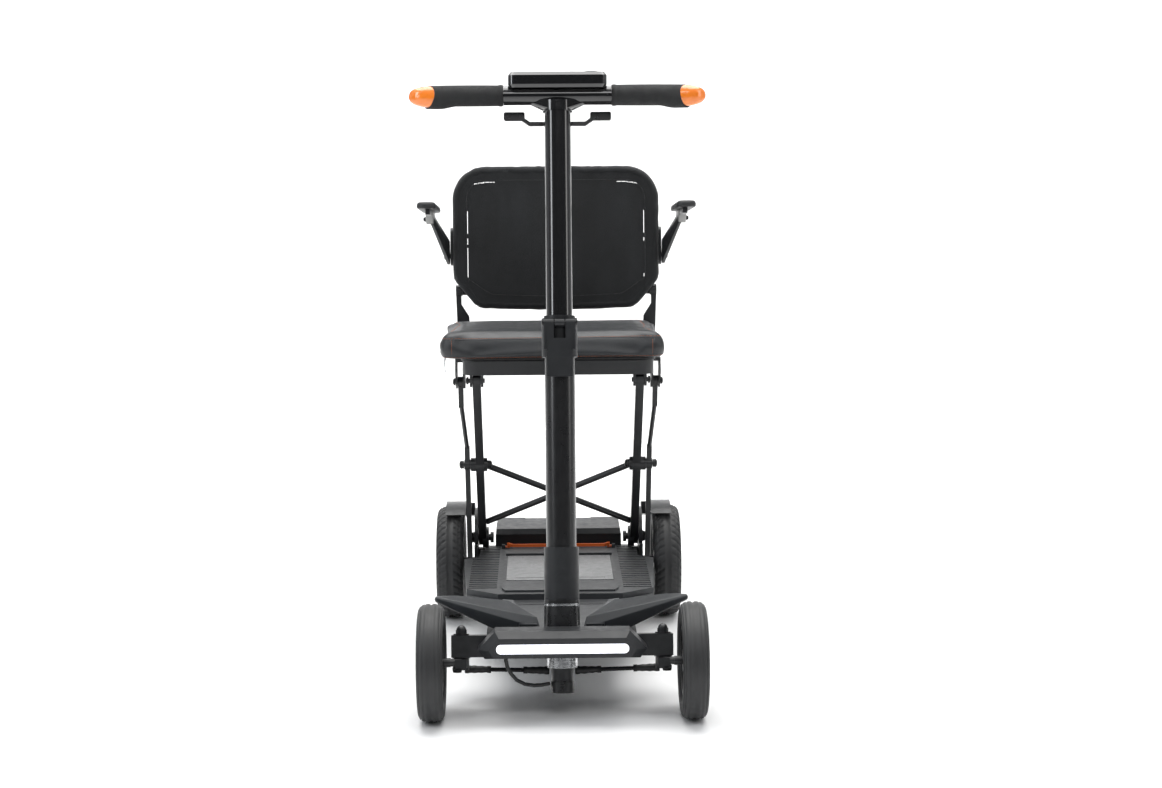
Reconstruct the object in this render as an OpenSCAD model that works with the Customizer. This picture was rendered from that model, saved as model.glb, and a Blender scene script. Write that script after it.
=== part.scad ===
// Folding mobility scooter: four wheels, telescopic folding tiller, scissor-strut seat.
// X runs across, -Y is the front, +Z is up, and the floor is Z = 0.
// Lengths along Y are measured from the front axle and shifted by origin_y at the end.

/* [Overall] */
// Distance between the front and the rear axle
wheelbase = 690; // [670:5:720]
// Rear face of the motor cover behind the rear axle
rear_overhang = 130; // [125:5:150]
// Height of the floorboard's top above the floor
deck_z = 126; // [122:1:128]

/* [Wheels] */
// Diameter of the front tyres
front_wheel_d = 180; // [150:2:190]
// Width of the front tyres
front_wheel_w = 40; // [32:1:42]
// Distance between the front wheels' middles
front_track = 400; // [400:2:420]
// Diameter of the rear tyres
rear_wheel_d = 203; // [180:1:210]
// Width of the rear tyres
rear_wheel_w = 50; // [40:1:52]
// Distance between the rear wheels' middles
rear_track = 394; // [394:1:410]
// Diameter of the wheel axles
axle_d = 12; // [10:1:14]

/* [Steering] */
// Lean of the tiller and of the kingpins, back from upright, in degrees
lean = 11; // [8:0.5:13]
// Distance of a kingpin from the middle
kingpin_x = 155; // [150:1:156]
// Diameter of the kingpins
kingpin_d = 12; // [10:1:14]
// Length of the steering arms, from axis to ball
steer_arm = 38; // [34:1:42]
// Diameter of the steering shaft
shaft_d = 24; // [20:1:26]
// Outer diameter of the collar over the steering shaft
collar_d = 55; // [52:1:58]

/* [Tiller] */
// Height along the shaft where the tiller folds
fold_s = 177; // [174:1:184]
// Outer diameter of the lower tube
lower_tube_d = 46.5; // [44:0.5:48]
// Outer diameter of the upper tube
upper_tube_d = 41; // [36:0.5:42]
// Wall of both tubes
tube_wall = 2; // [1.5:0.1:2.5]
// Distance along the tiller to the middle of the handlebar
bar_s = 966; // [930:2:990]
// Full width of the handlebar with its end lenses
bar_w = 458; // [430:2:480]
// Diameter of the hand grips
grip_d = 32; // [30:1:34]
// Travel of the telescopic tube
tele_travel = 180; // [120:5:185]

/* [Seat] */
// Width of the cushion
cushion_w = 391; // [370:1:393]
// Depth of the cushion
cushion_l = 352; // [320:2:356]
// Thickness of the cushion
cushion_t = 48; // [40:1:56]
// Height of the underside of the cushion
seat_z = 508; // [500:1:520]
// Width of the seat frame
seat_frame_w = 326; // [320:1:328]
// Height of the seat frame's box section
seat_frame_h = 24; // [20:1:26]

/* [Backrest] */
// Half width of the backrest
back_half_w = 189; // [180:1:190]
// Height of the backrest's top edge
back_top_z = 820; // [780:5:850]
// Diameter of the backrest's tube
back_tube_d = 16; // [14:1:18]
// Recline of the backrest, in degrees
back_lean = 5; // [2:0.5:6]

/* [Fits] */
// Radial clearance of a shaft in its hole
fit = 0.05; // [0.02:0.01:0.1]
// Gap between neighbours that move past each other
gap = 0.4; // [0.3:0.1:1]

/* [Hidden] */
$fn = 48;
front_r = front_wheel_d / 2;
rear_r = rear_wheel_d / 2;
rear_end = wheelbase + rear_overhang;
origin_y = (rear_end - front_r) / 2;

// side-frame linkage, as [Y, Z] in the side view
leg_foot = [wheelbase, 146];
leg_len = 415;
leg_pitch = 51.2;
leg_fold = 48.2;
leg_mid = 201;
strut_pitch = 111.4;
strut_fold = 60.6;
strut_up = 167.5;
strut_down = 207;
leg_x = 139;
leg_w = 14;
strut_x = 161;
strut_top_x = 169;
strut_d = 9;
link_pin_d = 8;

function polar(r, a) = [r * cos(a), r * sin(a)];
function leg_angle(t) = 180 - leg_pitch + leg_fold * t;
function leg_at(r, t) = leg_foot + polar(r, leg_angle(t));
function strut_at(r, t) = leg_at(leg_mid, t) + polar(r, strut_pitch + strut_fold * t);
leg_top = leg_at(leg_len, 0);
leg_pin = leg_at(leg_mid, 0);
strut_top = strut_at(strut_up, 0);
strut_foot = strut_at(-strut_down, 0);
slot_steps = 8;
// where the strut's top pin lies on the seat as the seat comes down
seat_slot = [for (i = [0:3]) let (t = i / 3)
    strut_at(strut_up, t) - leg_at(leg_len, t) + leg_top];
// where the strut's foot pin lies on the rear bracket
foot_slot = [for (i = [0:slot_steps]) strut_at(-strut_down, i / slot_steps)];

seat_frame_z = seat_z - 4;
seat_front = leg_top[0] - 15;
seat_back = leg_top[0] + 360;
cushion_front = leg_top[0] - 30;
cushion_r = 42;
hinge_y = cushion_front + cushion_l + 30;
hinge_z = seat_z + cushion_t + 38;
upright_y = hinge_y - 5;

axle_front_z = front_r;
axle_rear_z = rear_r;
beam_s0 = 94;
beam_s1 = 129;
rod_s = 68;
hub_gap = 0.8;
collar_s0 = 134;
lower_tube_end = 585;
clamp_s0 = 556;
clamp_s1 = 616;
grip_in = 84;
lens_w = 16;
box_w = 232;
box_front = wheelbase + 15;

module at_origin() { translate([0, -origin_y, 0]) children(); }
module on_column() { at_origin() rotate([-lean, 0, 0]) children(); }
module both_sides() { children(); mirror([1, 0, 0]) children(); }

// extrusions of a side-view outline along X, and of a front-view outline along Y
module along_x(x0, x1) { translate([x0, 0, 0]) rotate([90, 0, 90]) linear_extrude(x1 - x0) children(); }
module along_y(y0, y1) { translate([0, y1, 0]) rotate([90, 0, 0]) linear_extrude(y1 - y0) children(); }
module rod_x(p, x0, x1, d) { translate([x0, p[0], p[1]]) rotate([0, 90, 0]) cylinder(h = x1 - x0, d = d); }
module rod_z(p, s0, s1, d) { translate([p[0], p[1], s0]) cylinder(h = s1 - s0, d = d); }
module rod(p, q, d) {
    v = q - p;
    len = norm(v);
    translate(p) rotate([0, acos(v[2] / len), atan2(v[1], v[0])]) cylinder(h = len, d = d);
}
// outline of a band of width w along a line of points, with round ends
function heading(pts, i) = let (v = pts[min(i + 1, len(pts) - 1)] - pts[max(i - 1, 0)]) atan2(v[1], v[0]);
function band(pts, w) = let (n = len(pts) - 1) concat(
    [for (i = [0:n - 1]) pts[i] + polar(w / 2, heading(pts, i) - 90)],
    [for (a = [-90:15:90]) pts[n] + polar(w / 2, heading(pts, n) + a)],
    [for (i = [n - 1:-1:1]) pts[i] + polar(w / 2, heading(pts, i) + 90)],
    [for (a = [90:15:255]) pts[0] + polar(w / 2, heading(pts, 0) + a)]);
module bar2d(p, q, w) { polygon(band([p, q], w)); }
module path2d(points, w) { polygon(band(points, w)); }
module round_rect(w, l, r) {
    square([w - 2 * r, l], center = true);
    square([w, l - 2 * r], center = true);
    for (x = [-1, 1], y = [-1, 1]) translate([x * (w / 2 - r), y * (l / 2 - r)]) circle(r = r);
}
module slab(w, y0, y1, z0, z1, r) {
    translate([0, (y0 + y1) / 2, z0]) linear_extrude(z1 - z0) round_rect(w, y1 - y0, r);
}
module ring(d_out, d_in, s0, s1) {
    translate([0, 0, s0]) difference() {
        cylinder(h = s1 - s0, d = d_out);
        translate([0, 0, -1]) cylinder(h = s1 - s0 + 2, d = d_in);
    }
}

// ---------------------------------------------------------------- chassis
rail_x = 108;
rail_w = 20;
rail_h = 24;
rail_z = deck_z - 16 - rail_h;
nose_z = deck_z - 10;
nose_t = 11;
rail_end = wheelbase - 24;
tray_y0 = 400;
tray_y1 = 602;
module chassis_frame() color("#24262a") at_origin() difference() {
    union() {
        for (s = [-1, 1]) translate([s * rail_x - rail_w / 2, 64, rail_z]) cube([rail_w, rail_end - 64, rail_h]);
        for (y = cross_tubes) translate([-rail_x, y, nose_z - nose_t - rail_h]) cube([2 * rail_x, rail_h, rail_h]);
        translate([-rail_x, tray_y0 - 8, 56]) cube([2 * rail_x, tray_y1 - tray_y0 + 16, 4]);
        for (s = [-1, 1]) translate([s * (rail_x - 10) - 2, tray_y0 - 8, 56]) cube([4, tray_y1 - tray_y0 + 16, 40]);
        rotate([-lean, 0, 0]) translate([-rail_x - rail_w / 2, 24, beam_s0]) cube([2 * rail_x + rail_w, 30, 16]);
    }
    for (s = [-1, 1]) translate([s * rail_x - rail_w / 2 + 2, 130, rail_z + 2]) cube([rail_w - 4, wheelbase, rail_h - 4]);
    for (y = cross_tubes)
        translate([-rail_x - 5, y + 2, nose_z - nose_t - rail_h + 2]) cube([2 * rail_x + 10, rail_h - 4, rail_h - 4]);
    rotate([-lean, 0, 0]) rod_z([0, 0], beam_s0 - 1, beam_s0 + 30, 62);
}
cross_tubes = [110, 330];
module battery_pack() color("#17181a") at_origin() difference() {
    slab(172, tray_y0 + 6, tray_y1 - 8, 60, 116, 8);
    translate([-45, 540, 108]) cube([90, 26, 10]);
}
module controller() color("#5c6066") at_origin() {
    slab(120, 196, 316, 80, nose_z - nose_t, 5);
    for (i = [0:8]) translate([-52 + i * 12.5, 200, 74]) cube([4, 112, 6]);
}
deck_half = [[-104, 306], [-158, 350], [-170, 590], [-143, 612], [-143, 696], [-134, 712]];
module deck_outline() { polygon(concat(deck_half, [for (i = [5:-1:0]) [-deck_half[i][0], deck_half[i][1]]])); }
rib_pitch = 14.5;
module deck_shell() color("#3d4145") at_origin() {
    difference() {
        union() {
            translate([0, 0, deck_z - 16]) linear_extrude(16) deck_outline();
            translate([0, 0, deck_z - 16]) linear_extrude(19) polygon([[-92, 322], [92, 322], [98, 340], [98, 645],
                [86, 664], [-86, 664], [-98, 645], [-98, 340]]);
            translate([0, 0, nose_z - nose_t]) linear_extrude(nose_t) polygon([[-158, 350], [-104, 262], [-60, 150],
                [-40, 66], [40, 66], [60, 150], [104, 262], [158, 350], [104, 322], [-104, 322]]);
            for (s = [-1, 1]) translate([s * 101 - 3, handle_y + 7, deck_z - 2]) cube([6, 10, 9]);
        }
        for (s = [-1, 1], i = [0:23])
            translate([s * 131 - 24, 352 + i * rib_pitch, deck_z - 1.6]) cube([48, 6, 4]);
        slab(184.8, tray_y0 - 4.5, 605.4, deck_z - 1.2, deck_z + 8, 3);
        slab(178, tray_y0 + 4, tray_y1 - 6, deck_z - 30, deck_z + 8, 6);
        for (s = [-1, 1]) translate([s * 60 - 11, tray_y0 - 4.5, deck_z - 6]) cube([22, 10, 20]);
        slab(192, 600, 622, deck_z - 9, deck_z + 8, 4);
        translate([-70, 270, nose_z - 1.5]) cube([140, 3, 3]);
        on_shaft_hole();
        for (s = [-1, 1]) translate([s * rail_x - rail_w / 2, 60, rail_z - 10]) cube([rail_w, 660, rail_h + 10]);
        for (s = [-1, 1]) rod_x([handle_y + 12, deck_z + 3], s * 101 - 5, s * 101 + 5, 4.4 + 2 * fit);
        rod_x(axle_hub, -200, 200, 42);
        both_sides() rod_x(axle_hub, 134, 160, 54);
    }
    for (s = [-1, 1]) rod_x(hatch_axis, s * 60 - 11.5, s * 60 + 11.5, 3);
}
module on_shaft_hole() { rotate([-lean, 0, 0]) translate([0, 0, 90]) cylinder(h = 80, d = collar_d + 3); }
hatch_axis = [401, deck_z - 2];
module deck_hatch() color("#34383c") at_origin() difference() {
    union() {
        slab(184, 402.5, 605, deck_z - 0.6, deck_z + 2.4, 2);
        for (s = [-1, 1]) rod_x(hatch_axis, s * 60 - 10, s * 60 + 10, 6);
        for (s = [-1, 1]) translate([s * 60 - 10, 401, deck_z - 2]) cube([20, 6, 3]);
    }
    for (s = [-1, 1]) rod_x(hatch_axis, s * 60 - 12, s * 60 + 12, 3 + 2 * fit);
    translate([-78, 420, deck_z + 1.6]) cube([156, 2, 2]);
}
module front_beam() color("#1f2124") on_column() difference() {
    union() {
        translate([-150, -14, beam_s0 + 4]) cube([300, 28, beam_s1 - beam_s0 - 8]);
        both_sides() {
            rod_z([kingpin_x, 0], beam_s0, beam_s1, 28);
            translate([104, -16, beam_s0 + 2]) cube([66, 32, beam_s1 - beam_s0 - 2]);
            translate([70, -30, 104]) cube([20, 20, 8]);
        }
        rod_z([0, 0], beam_s0, 132, 62);
        translate([-100, 10, beam_s0 + 2]) cube([200, 14, 14]);
        translate([-99, -26, 124]) cube([198, 63, 3]);
    }
    both_sides() rod_z([kingpin_x, 0], beam_s0 - 1, beam_s1 + 1, kingpin_d + 2 * fit);
    rod_z([0, 0], beam_s0 - 1, 140, shaft_d + 2 * fit);
}
module bumper_outline(grow) {
    polygon([[-118 - grow, 104 - grow], [118 + grow, 104 - grow], [128 + grow, 118], [102 + grow, 146 + grow],
        [-102 - grow, 146 + grow], [-128 - grow, 118]]);
}
module bumper_cover() color("#232529") at_origin() difference() {
    hull() {
        along_y(-48, -46) polygon([[-104, 108], [104, 108], [112, 120], [96, 138], [-96, 138], [-112, 120]]);
        along_y(-34, -4) bumper_outline(0);
    }
    hull() {
        along_y(-45, -44) polygon([[-102, 111], [102, 111], [109, 120], [94, 135], [-94, 135], [-109, 120]]);
        along_y(-31, 2) bumper_outline(-3);
    }
    on_shaft_hole();
    along_y(-60, -30) lens_outline(0);
    translate([-112, -18, 99]) cube([224, 30, 12]);
}
module lens_outline(grow) {
    for (s = [-1, 1]) translate([s * 93, 122]) circle(r = 7 + grow);
    translate([-93, 115 - grow]) square([186, 14 + 2 * grow]);
}
module headlight_lens() color("white") at_origin() {
    along_y(-50, -43) lens_outline(0);
    along_y(-43, -41) lens_outline(2);
}
module wing() {
    hull() {
        translate([36, 67, 126]) sphere(r = 2.5, $fn = 20);
        translate([108, 80, 126]) sphere(r = 2.5, $fn = 20);
        translate([40, 78, 140]) sphere(r = 1.5, $fn = 20);
        translate([84, 124, 156]) sphere(r = 1.5, $fn = 20);
        translate([164, 116, 166]) sphere(r = 2, $fn = 20);
        translate([194, 102, 165]) sphere(r = 5, $fn = 24);
        translate([195, 118, 162]) sphere(r = 5, $fn = 24);
        translate([92, 226, 122]) sphere(r = 3, $fn = 20);
        translate([76, 222, 122]) sphere(r = 3, $fn = 20);
    }
}
module wing_base() {
    translate([0, 0, nose_z]) linear_extrude(17)
        polygon([[38, 64], [46, 104], [64, 160], [78, 232], [95, 240], [98, 200], [80, 120], [66, 66]]);
}
module front_wings() color("#2e3238") at_origin() difference() {
    both_sides() {
        wing();
        wing_base();
    }
    rotate([-lean, 0, 0]) cylinder(h = 400, d = collar_d + 3);
    translate([-60, -10, 60]) cube([120, 67, 200]);
}
module bearing_ring() color("#c8ccd0") on_column() ring(47, shaft_d + 2 * fit, 78, beam_s0);

// ---------------------------------------------------------------- steering
module steering_column() color("#2a2c30") on_column() {
    rod_z([0, 0], 46, fold_s - 4, shaft_d);
    rod_z([0, 0], 58, 77.6, 34);
    translate([-12, 0, 60]) cube([24, steer_arm, 5]);
    for (s = [-1, 1]) rod_z([8 * s, steer_arm], 60, 65, 15);
    for (s = [-1, 1]) rod_z([8 * s, steer_arm], 65, 76, 5);
}
module head_collar() color("#1c1e21") on_column() ring(collar_d, shaft_d, collar_s0, fold_s - 4);
module column_cap() color("#303337") on_column() {
    difference() {
        rod_z([0, 0], 40, 57.8, 37);
        rod_z([0, 0], 46, 60, shaft_d);
    }
    translate([0, -17.5, 49]) rotate([90, 0, 0]) difference() {
        cylinder(h = 4, d = 8);
        translate([0, 0, 1.5]) cylinder(h = 5, d = 4.6, $fn = 6);
    }
}
cable_route = [[-86, -22, 104], [-86, -22, 98], [-84, -22, 88], [-78, -20, 76], [-70, -16, 66], [-58, -10, 58],
    [-44, -4, 54], [-32, 2, 53], [-19.6, 6, 54]];
cable_d = 6;
cable_sides = 10;
function cable_dir(i) = let (n = len(cable_route) - 1,
    v = cable_route[min(i + 1, n)] - cable_route[max(i - 1, 0)]) v / norm(v);
function cable_ring(i) = let (d = cable_dir(i), u = cross(d, [0, 1, 0]) / norm(cross(d, [0, 1, 0])), w = cross(d, u))
    [for (k = [0:cable_sides - 1]) let (a = 360 * k / cable_sides)
        cable_route[i] + cable_d / 2 * (cos(a) * u + sin(a) * w)];
module sensor_cable() color("#111111") at_origin() {
    n = len(cable_route);
    polyhedron(points = [for (i = [0:n - 1]) each cable_ring(i)],
        faces = concat([[for (k = [cable_sides - 1:-1:0]) k]],
            [for (i = [0:n - 2], k = [0:cable_sides - 1]) let (k2 = (k + 1) % cable_sides, a = i * cable_sides)
                [a + k, a + k2, a + cable_sides + k2, a + cable_sides + k]],
            [[for (k = [0:cable_sides - 1]) (n - 1) * cable_sides + k]]), convexity = 4);
}
rod_rise = 4;
module tie_rod() {
    inner = [8, steer_arm, 71];
    outer = [kingpin_x + 8, steer_arm, 71 + rod_rise];
    dir = (outer - inner) / norm(outer - inner);
    difference() {
        union() {
            for (p = [inner, outer]) rod_z([p[0], p[1]], p[2] - 5, p[2] + 5, 14.4);
            rod(inner + 6 * dir, outer - 6 * dir, 8);
            rod(inner + 12 * dir, inner + 44 * dir, 14);
            rod(inner + 44 * dir, inner + 50 * dir, 11);
            rod(outer - 44 * dir, outer - 12 * dir, 14);
            rod(outer - 50 * dir, outer - 44 * dir, 11);
        }
        for (p = [inner, outer]) rod_z([p[0], p[1]], 50, 90, 5 + 2 * fit);
    }
}
module tie_rod_right() color("#202225") on_column() tie_rod();
module tie_rod_left() color("#202225") on_column() mirror([1, 0, 0]) tie_rod();
// stub axle: kingpin, spindle and steering arm of one front wheel
spindle_end = front_track / 2 + front_wheel_w / 2 - 4;
module knuckle() {
    on_axis = [0, -axle_front_z * sin(lean), axle_front_z * cos(lean)];
    rod_z([kingpin_x, 0], 78, beam_s1 + 7, kingpin_d);
    rod_z([kingpin_x, 0], 76, beam_s0 - gap, 24);
    translate([kingpin_x - 9, 0, 83]) cube([18, steer_arm, 5]);
    translate([kingpin_x - 9, -24, 80]) cube([18, 24, 13]);
    rod_z([kingpin_x + 8, steer_arm], 80.4, 88, 15);
    rod_z([kingpin_x + 8, steer_arm], 69, 81, 5);
    translate([kingpin_x, on_axis[1], on_axis[2]]) rotate([0, 90, 0]) {
        translate([0, 0, 16]) cylinder(h = front_track / 2 - front_wheel_w / 2 - hub_gap - kingpin_x - 14, d = 14);
        cylinder(h = spindle_end - kingpin_x, d = axle_d);
    }
    rod_z([kingpin_x, 0], beam_s1 + gap, beam_s1 + 2, 24);
    rod_z([kingpin_x, 0], beam_s1 + 2, beam_s1 + 8, 17);
    translate([kingpin_x, 0, beam_s1 + 8]) sphere(d = 15);
}
module knuckle_right() color("#26282c") on_column() knuckle();
module knuckle_left() color("#26282c") on_column() mirror([1, 0, 0]) knuckle();
// ---------------------------------------------------------------- wheels
module tyre(d, w, rim_d, grooves) {
    rotate([0, 90, 0]) difference() {
        rotate_extrude($fn = 96) difference() {
            union() {
                translate([rim_d / 2, -w / 2 + 5]) square([d / 2 - rim_d / 2 - 9, w - 10]);
                translate([d / 2 - 24, -w / 2 + 9]) square([15, w - 18]);
                for (s = [-1, 1]) translate([d / 2 - 14, s * (w / 2 - 14)]) circle(r = 14);
                translate([d / 2 - 20, -w / 2 + 14]) square([20, w - 28]);
                translate([rim_d / 2, -w / 2 + 4]) square([10, w - 8]);
            }
            for (i = [1:grooves]) translate([d / 2 - 2.2, -w / 2 + w * i / (grooves + 1) - 0.9]) square([5, 1.8]);
        }
    }
}
module rim(d, w, bore, spokes) {
    rotate([0, 90, 0]) difference() {
        union() {
            translate([0, 0, -w / 2]) difference() {
                cylinder(h = w, d = d, $fn = 96);
                translate([0, 0, -1]) cylinder(h = w + 2, d = d - 12, $fn = 96);
            }
            translate([0, 0, -w / 2]) cylinder(h = w, d = bore + 22);
            for (i = [0:spokes - 1]) rotate(i * 360 / spokes)
                translate([bore / 2 + 6, -7, -w / 4]) cube([d / 2 - bore / 2 - 10, 14, w / 2]);
        }
        translate([0, 0, -w]) cylinder(h = 2 * w, d = bore);
    }
}
front_rim_d = front_wheel_d * 0.62;
rear_rim_d = rear_wheel_d * 0.6;
module at_front_wheel(s) { at_origin() translate([s * front_track / 2, 0, axle_front_z]) children(); }
module at_rear_wheel(s) { at_origin() translate([s * rear_track / 2, wheelbase, axle_rear_z]) children(); }
module front_tyre_left() color("#26282a") at_front_wheel(-1) tyre(front_wheel_d, front_wheel_w, front_rim_d, 5);
module front_tyre_right() color("#26282a") at_front_wheel(1) tyre(front_wheel_d, front_wheel_w, front_rim_d, 5);
module rear_tyre_left() color("#26282a") at_rear_wheel(-1) tyre(rear_wheel_d, rear_wheel_w, rear_rim_d, 1);
module rear_tyre_right() color("#26282a") at_rear_wheel(1) tyre(rear_wheel_d, rear_wheel_w, rear_rim_d, 1);
module front_rim() { rim(front_rim_d, front_wheel_w - 8, axle_d + 2 * fit, 6); }
module rear_rim() { rim(rear_rim_d, rear_wheel_w - 8, axle_d + 2 * fit, 6); }
module front_rim_left() color("#3a3d40") at_front_wheel(-1) front_rim();
module front_rim_right() color("#3a3d40") at_front_wheel(1) front_rim();
module rear_rim_left() color("#3a3d40") at_rear_wheel(-1) rear_rim();
module rear_rim_right() color("#3a3d40") at_rear_wheel(1) rear_rim();

// ---------------------------------------------------------------- rear end
bracket_x = 149;
stub_d = 15;
axle_hub = [wheelbase, axle_rear_z];
module axle_housing() color("#25272a") at_origin() {
    rod_x(axle_hub, -bracket_x + 4, bracket_x - 4, 40);
    both_sides() {
        rod_x(axle_hub, bracket_x - 4, rear_track / 2 + rear_wheel_w / 2 - 6, axle_d);
        rod_x(axle_hub, bracket_x - 4, rear_track / 2 - rear_wheel_w / 2 + 4 - hub_gap, stub_d);
        translate([rail_x - rail_w / 2, rail_end, rail_z]) cube([rail_w, 12, rail_h - 2]);
    }
}
module drive_motor() color("#33363a") at_origin() difference() {
    union() {
        rod_x([wheelbase + 70, 108], -62, 50, 64);
        rod_x([wheelbase + 70, 108], 50, 58, 54);
        translate([-20, wheelbase + 12, 92]) cube([40, 34, 17]);
    }
    rod_x(axle_hub, -70, 70, 40);
}
module motor_cover() color("#4b4f52") at_origin() difference() {
    along_y(box_front, rear_end) cover_outline(0, 148);
    along_y(box_front + 3, rear_end - 3) cover_outline(3, 170);
    rod_x(axle_hub, -200, 200, 42);
    translate([-200, box_front - 1, 40]) cube([400, 12, deck_z - 40]);
    for (s = [-1, 1]) translate([s * 70 - 0.8, box_front - 1, deck_z + 2]) cube([1.6, 2, 30]);
}
module cover_outline(wall, top) {
    polygon([[-box_w / 2 + wall, top], [box_w / 2 - wall, top], [box_w / 2 - wall, 96], [box_w / 2 - 26, 66 + wall],
        [-box_w / 2 + 26, 66 + wall], [-box_w / 2 + wall, 96]]);
}
module motor_cover_lid() color("#3a3d40") at_origin() difference() {
    along_x(-box_w / 2 + 2, box_w / 2 - 2) polygon([[box_front - 2, 148], [box_front + 6, 157], [rear_end - 14, 160],
        [rear_end, 148]]);
    translate([-62, box_front - 4, 158.4]) cube([124, 200, 4]);
}
bracket_d = 96;
module rear_bracket() {
    difference() {
        along_x(bracket_x - 2, bracket_x + 4) {
            translate(leg_foot + [4, 6]) circle(d = bracket_d);
            path2d(foot_slot, link_pin_d + 18);
            translate([wheelbase - 60, 92]) square([90, 50]);
        }
        along_x(bracket_x - 3, bracket_x + 5) path2d(foot_slot, link_pin_d + 1.6);
        rod_x(axle_hub, 0, 200, stub_d);
        rod_x(leg_foot, bracket_x - 3, bracket_x + 5, link_pin_d + 4);
    }
}
module rear_brackets() color("#1d1f22") at_origin() both_sides() {
    rear_bracket();
    difference() {
        rod_x(axle_hub, bracket_x - 14, bracket_x - 2, 52);
        rod_x(axle_hub, 0, bracket_x - 4, 40);
        rod_x(axle_hub, 0, bracket_x, stub_d);
        rod_x(leg_foot, 0, 200, leg_disc_d + 2);
    }
}
leg_disc_d = 38;
module leg_bolts() color("#17181a") at_origin() both_sides() {
    rod_x(leg_foot, bracket_x - 24, bracket_x + 4, link_pin_d + 4);
    rod_x(leg_foot, bracket_x + 4, bracket_x + 7, 20);
    rod_x(leg_foot, bracket_x - 30, bracket_x - 24, 20);
}
fender_r = rear_r + 6;
module fender() {
    a = [wheelbase, axle_rear_z];
    along_x(rear_track / 2 - rear_wheel_w / 2 - 3.4, rear_track / 2 + 8) difference() {
        translate(a) circle(r = fender_r + 3, $fn = 96);
        translate(a) circle(r = fender_r, $fn = 96);
        translate([a[0] - 300, a[1] - 300]) square([600, 300 + fender_r * cos(26)]);
    }
    along_x(bracket_x + 4, rear_track / 2 - rear_wheel_w / 2 - 1) polygon([[a[0] + 8, 186], [a[0] + 36, 178],
        [a[0] + 44, a[1] + fender_r - 8], [a[0] + 4, a[1] + fender_r + 1]]);
}
module rear_fenders() color("#74787c") at_origin() difference() {
    both_sides() fender();
    both_sides() rod_x(axle_hub, rear_track / 2 - rear_wheel_w / 2 - 1, 230, 2 * fender_r);
}

// ---------------------------------------------------------------- fold release
handle_y = 672;
handle_z = deck_z + 7.5;
module release_handle() color("#d8632e") at_origin() {
    translate([0, 0, handle_z - 2.5]) linear_extrude(5)
        path2d([[-92, handle_y + 12], [-84, handle_y], [84, handle_y], [92, handle_y + 12]], 5.2);
    for (s = [-1, 1]) {
        translate([s * 92 - 2.5, handle_y + 10, deck_z + 1]) cube([5, 4, 6.6]);
        rod_x([handle_y + 12, deck_z + 3], s * 96 - 6, s * 96 + 6, 4.4);
    }
}

// ---------------------------------------------------------------- tiller
knuckle_r = 6;
fold_y = collar_d / 2 + knuckle_r - 0.5;
module fold_ring() color("#d0d3d6") on_column() {
    rod_z([0, 0], fold_s - 4, fold_s - gap, collar_d - 1);
    translate([-8, 0, fold_s - 4]) cube([16, fold_y, 3.6]);
    rod_x([fold_y, fold_s], -8, 8, 2 * knuckle_r);
    rod_x([fold_y, fold_s], -15, 15, 5);
}
module lower_tube() color("#141517") on_column() difference() {
    union() {
        rod_z([0, 0], fold_s, lower_tube_end, lower_tube_d);
        rod_z([0, 0], fold_s, fold_s + 5, collar_d - 1);
        for (s = [-1, 1]) {
            along_x(s * 11.8 - 3.2, s * 11.8 + 3.2) {
                translate([fold_y, fold_s]) circle(r = knuckle_r);
                translate([0, fold_s]) square([fold_y, 5]);
            }
        }
    }
    rod_z([0, 0], fold_s + 8, lower_tube_end + 1, upper_tube_d + 2 * fit);
    rod_x([fold_y, fold_s], -16, 16, 5 + 2 * fit);
    rod_x([fold_y, fold_s], -8 - gap, 8 + gap, 2 * knuckle_r + 2 * gap);
}
sleeve_d = 54;
module lock_sleeve() color("#3a3d41") on_column() difference() {
    union() {
        rod_z([0, 0], fold_s + 5 + gap, fold_s + 86, sleeve_d);
        intersection() {
            translate([0, -sleeve_d / 2 - 1.6, 0]) along_y(0, 8) {
                translate([0, fold_s + 38]) circle(r = 10);
                translate([-10, fold_s + 8]) square([20, 30]);
            }
            rod_z([0, 0], fold_s, fold_s + 60, sleeve_d + 3);
        }
    }
    rod_z([0, 0], fold_s, fold_s + 90, lower_tube_d + 2 * fit);
}
lever_r = 5.6;
lever_pin = [-(lower_tube_d / 2 + 10.3), clamp_s1 - 9];
module clamp_collar() color("#33363a") on_column() difference() {
    union() {
        rod_z([0, 0], clamp_s0, clamp_s1, lower_tube_d + 9);
        rod_z([0, 0], clamp_s1, clamp_s1 + 4, lower_tube_d + 2);
        along_x(-7.5, 7.5) {
            translate(lever_pin) circle(r = lever_r);
            translate([lever_pin[0], lever_pin[1] - lever_r]) square([20, 2 * lever_r]);
        }
        rod_x(lever_pin, -24.5, 24.5, 4);
    }
    rod_z([0, 0], clamp_s0 - 1, lower_tube_end, lower_tube_d);
    rod_z([0, 0], lower_tube_end, clamp_s1 + 8, upper_tube_d + 2 * fit);
    translate([-1, 0, clamp_s0 - 1]) cube([2, 60, 80]);
}
lever_w = 39;
lever_s0 = 524;
lever_y = -(lower_tube_d / 2 + 5.4);
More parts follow.
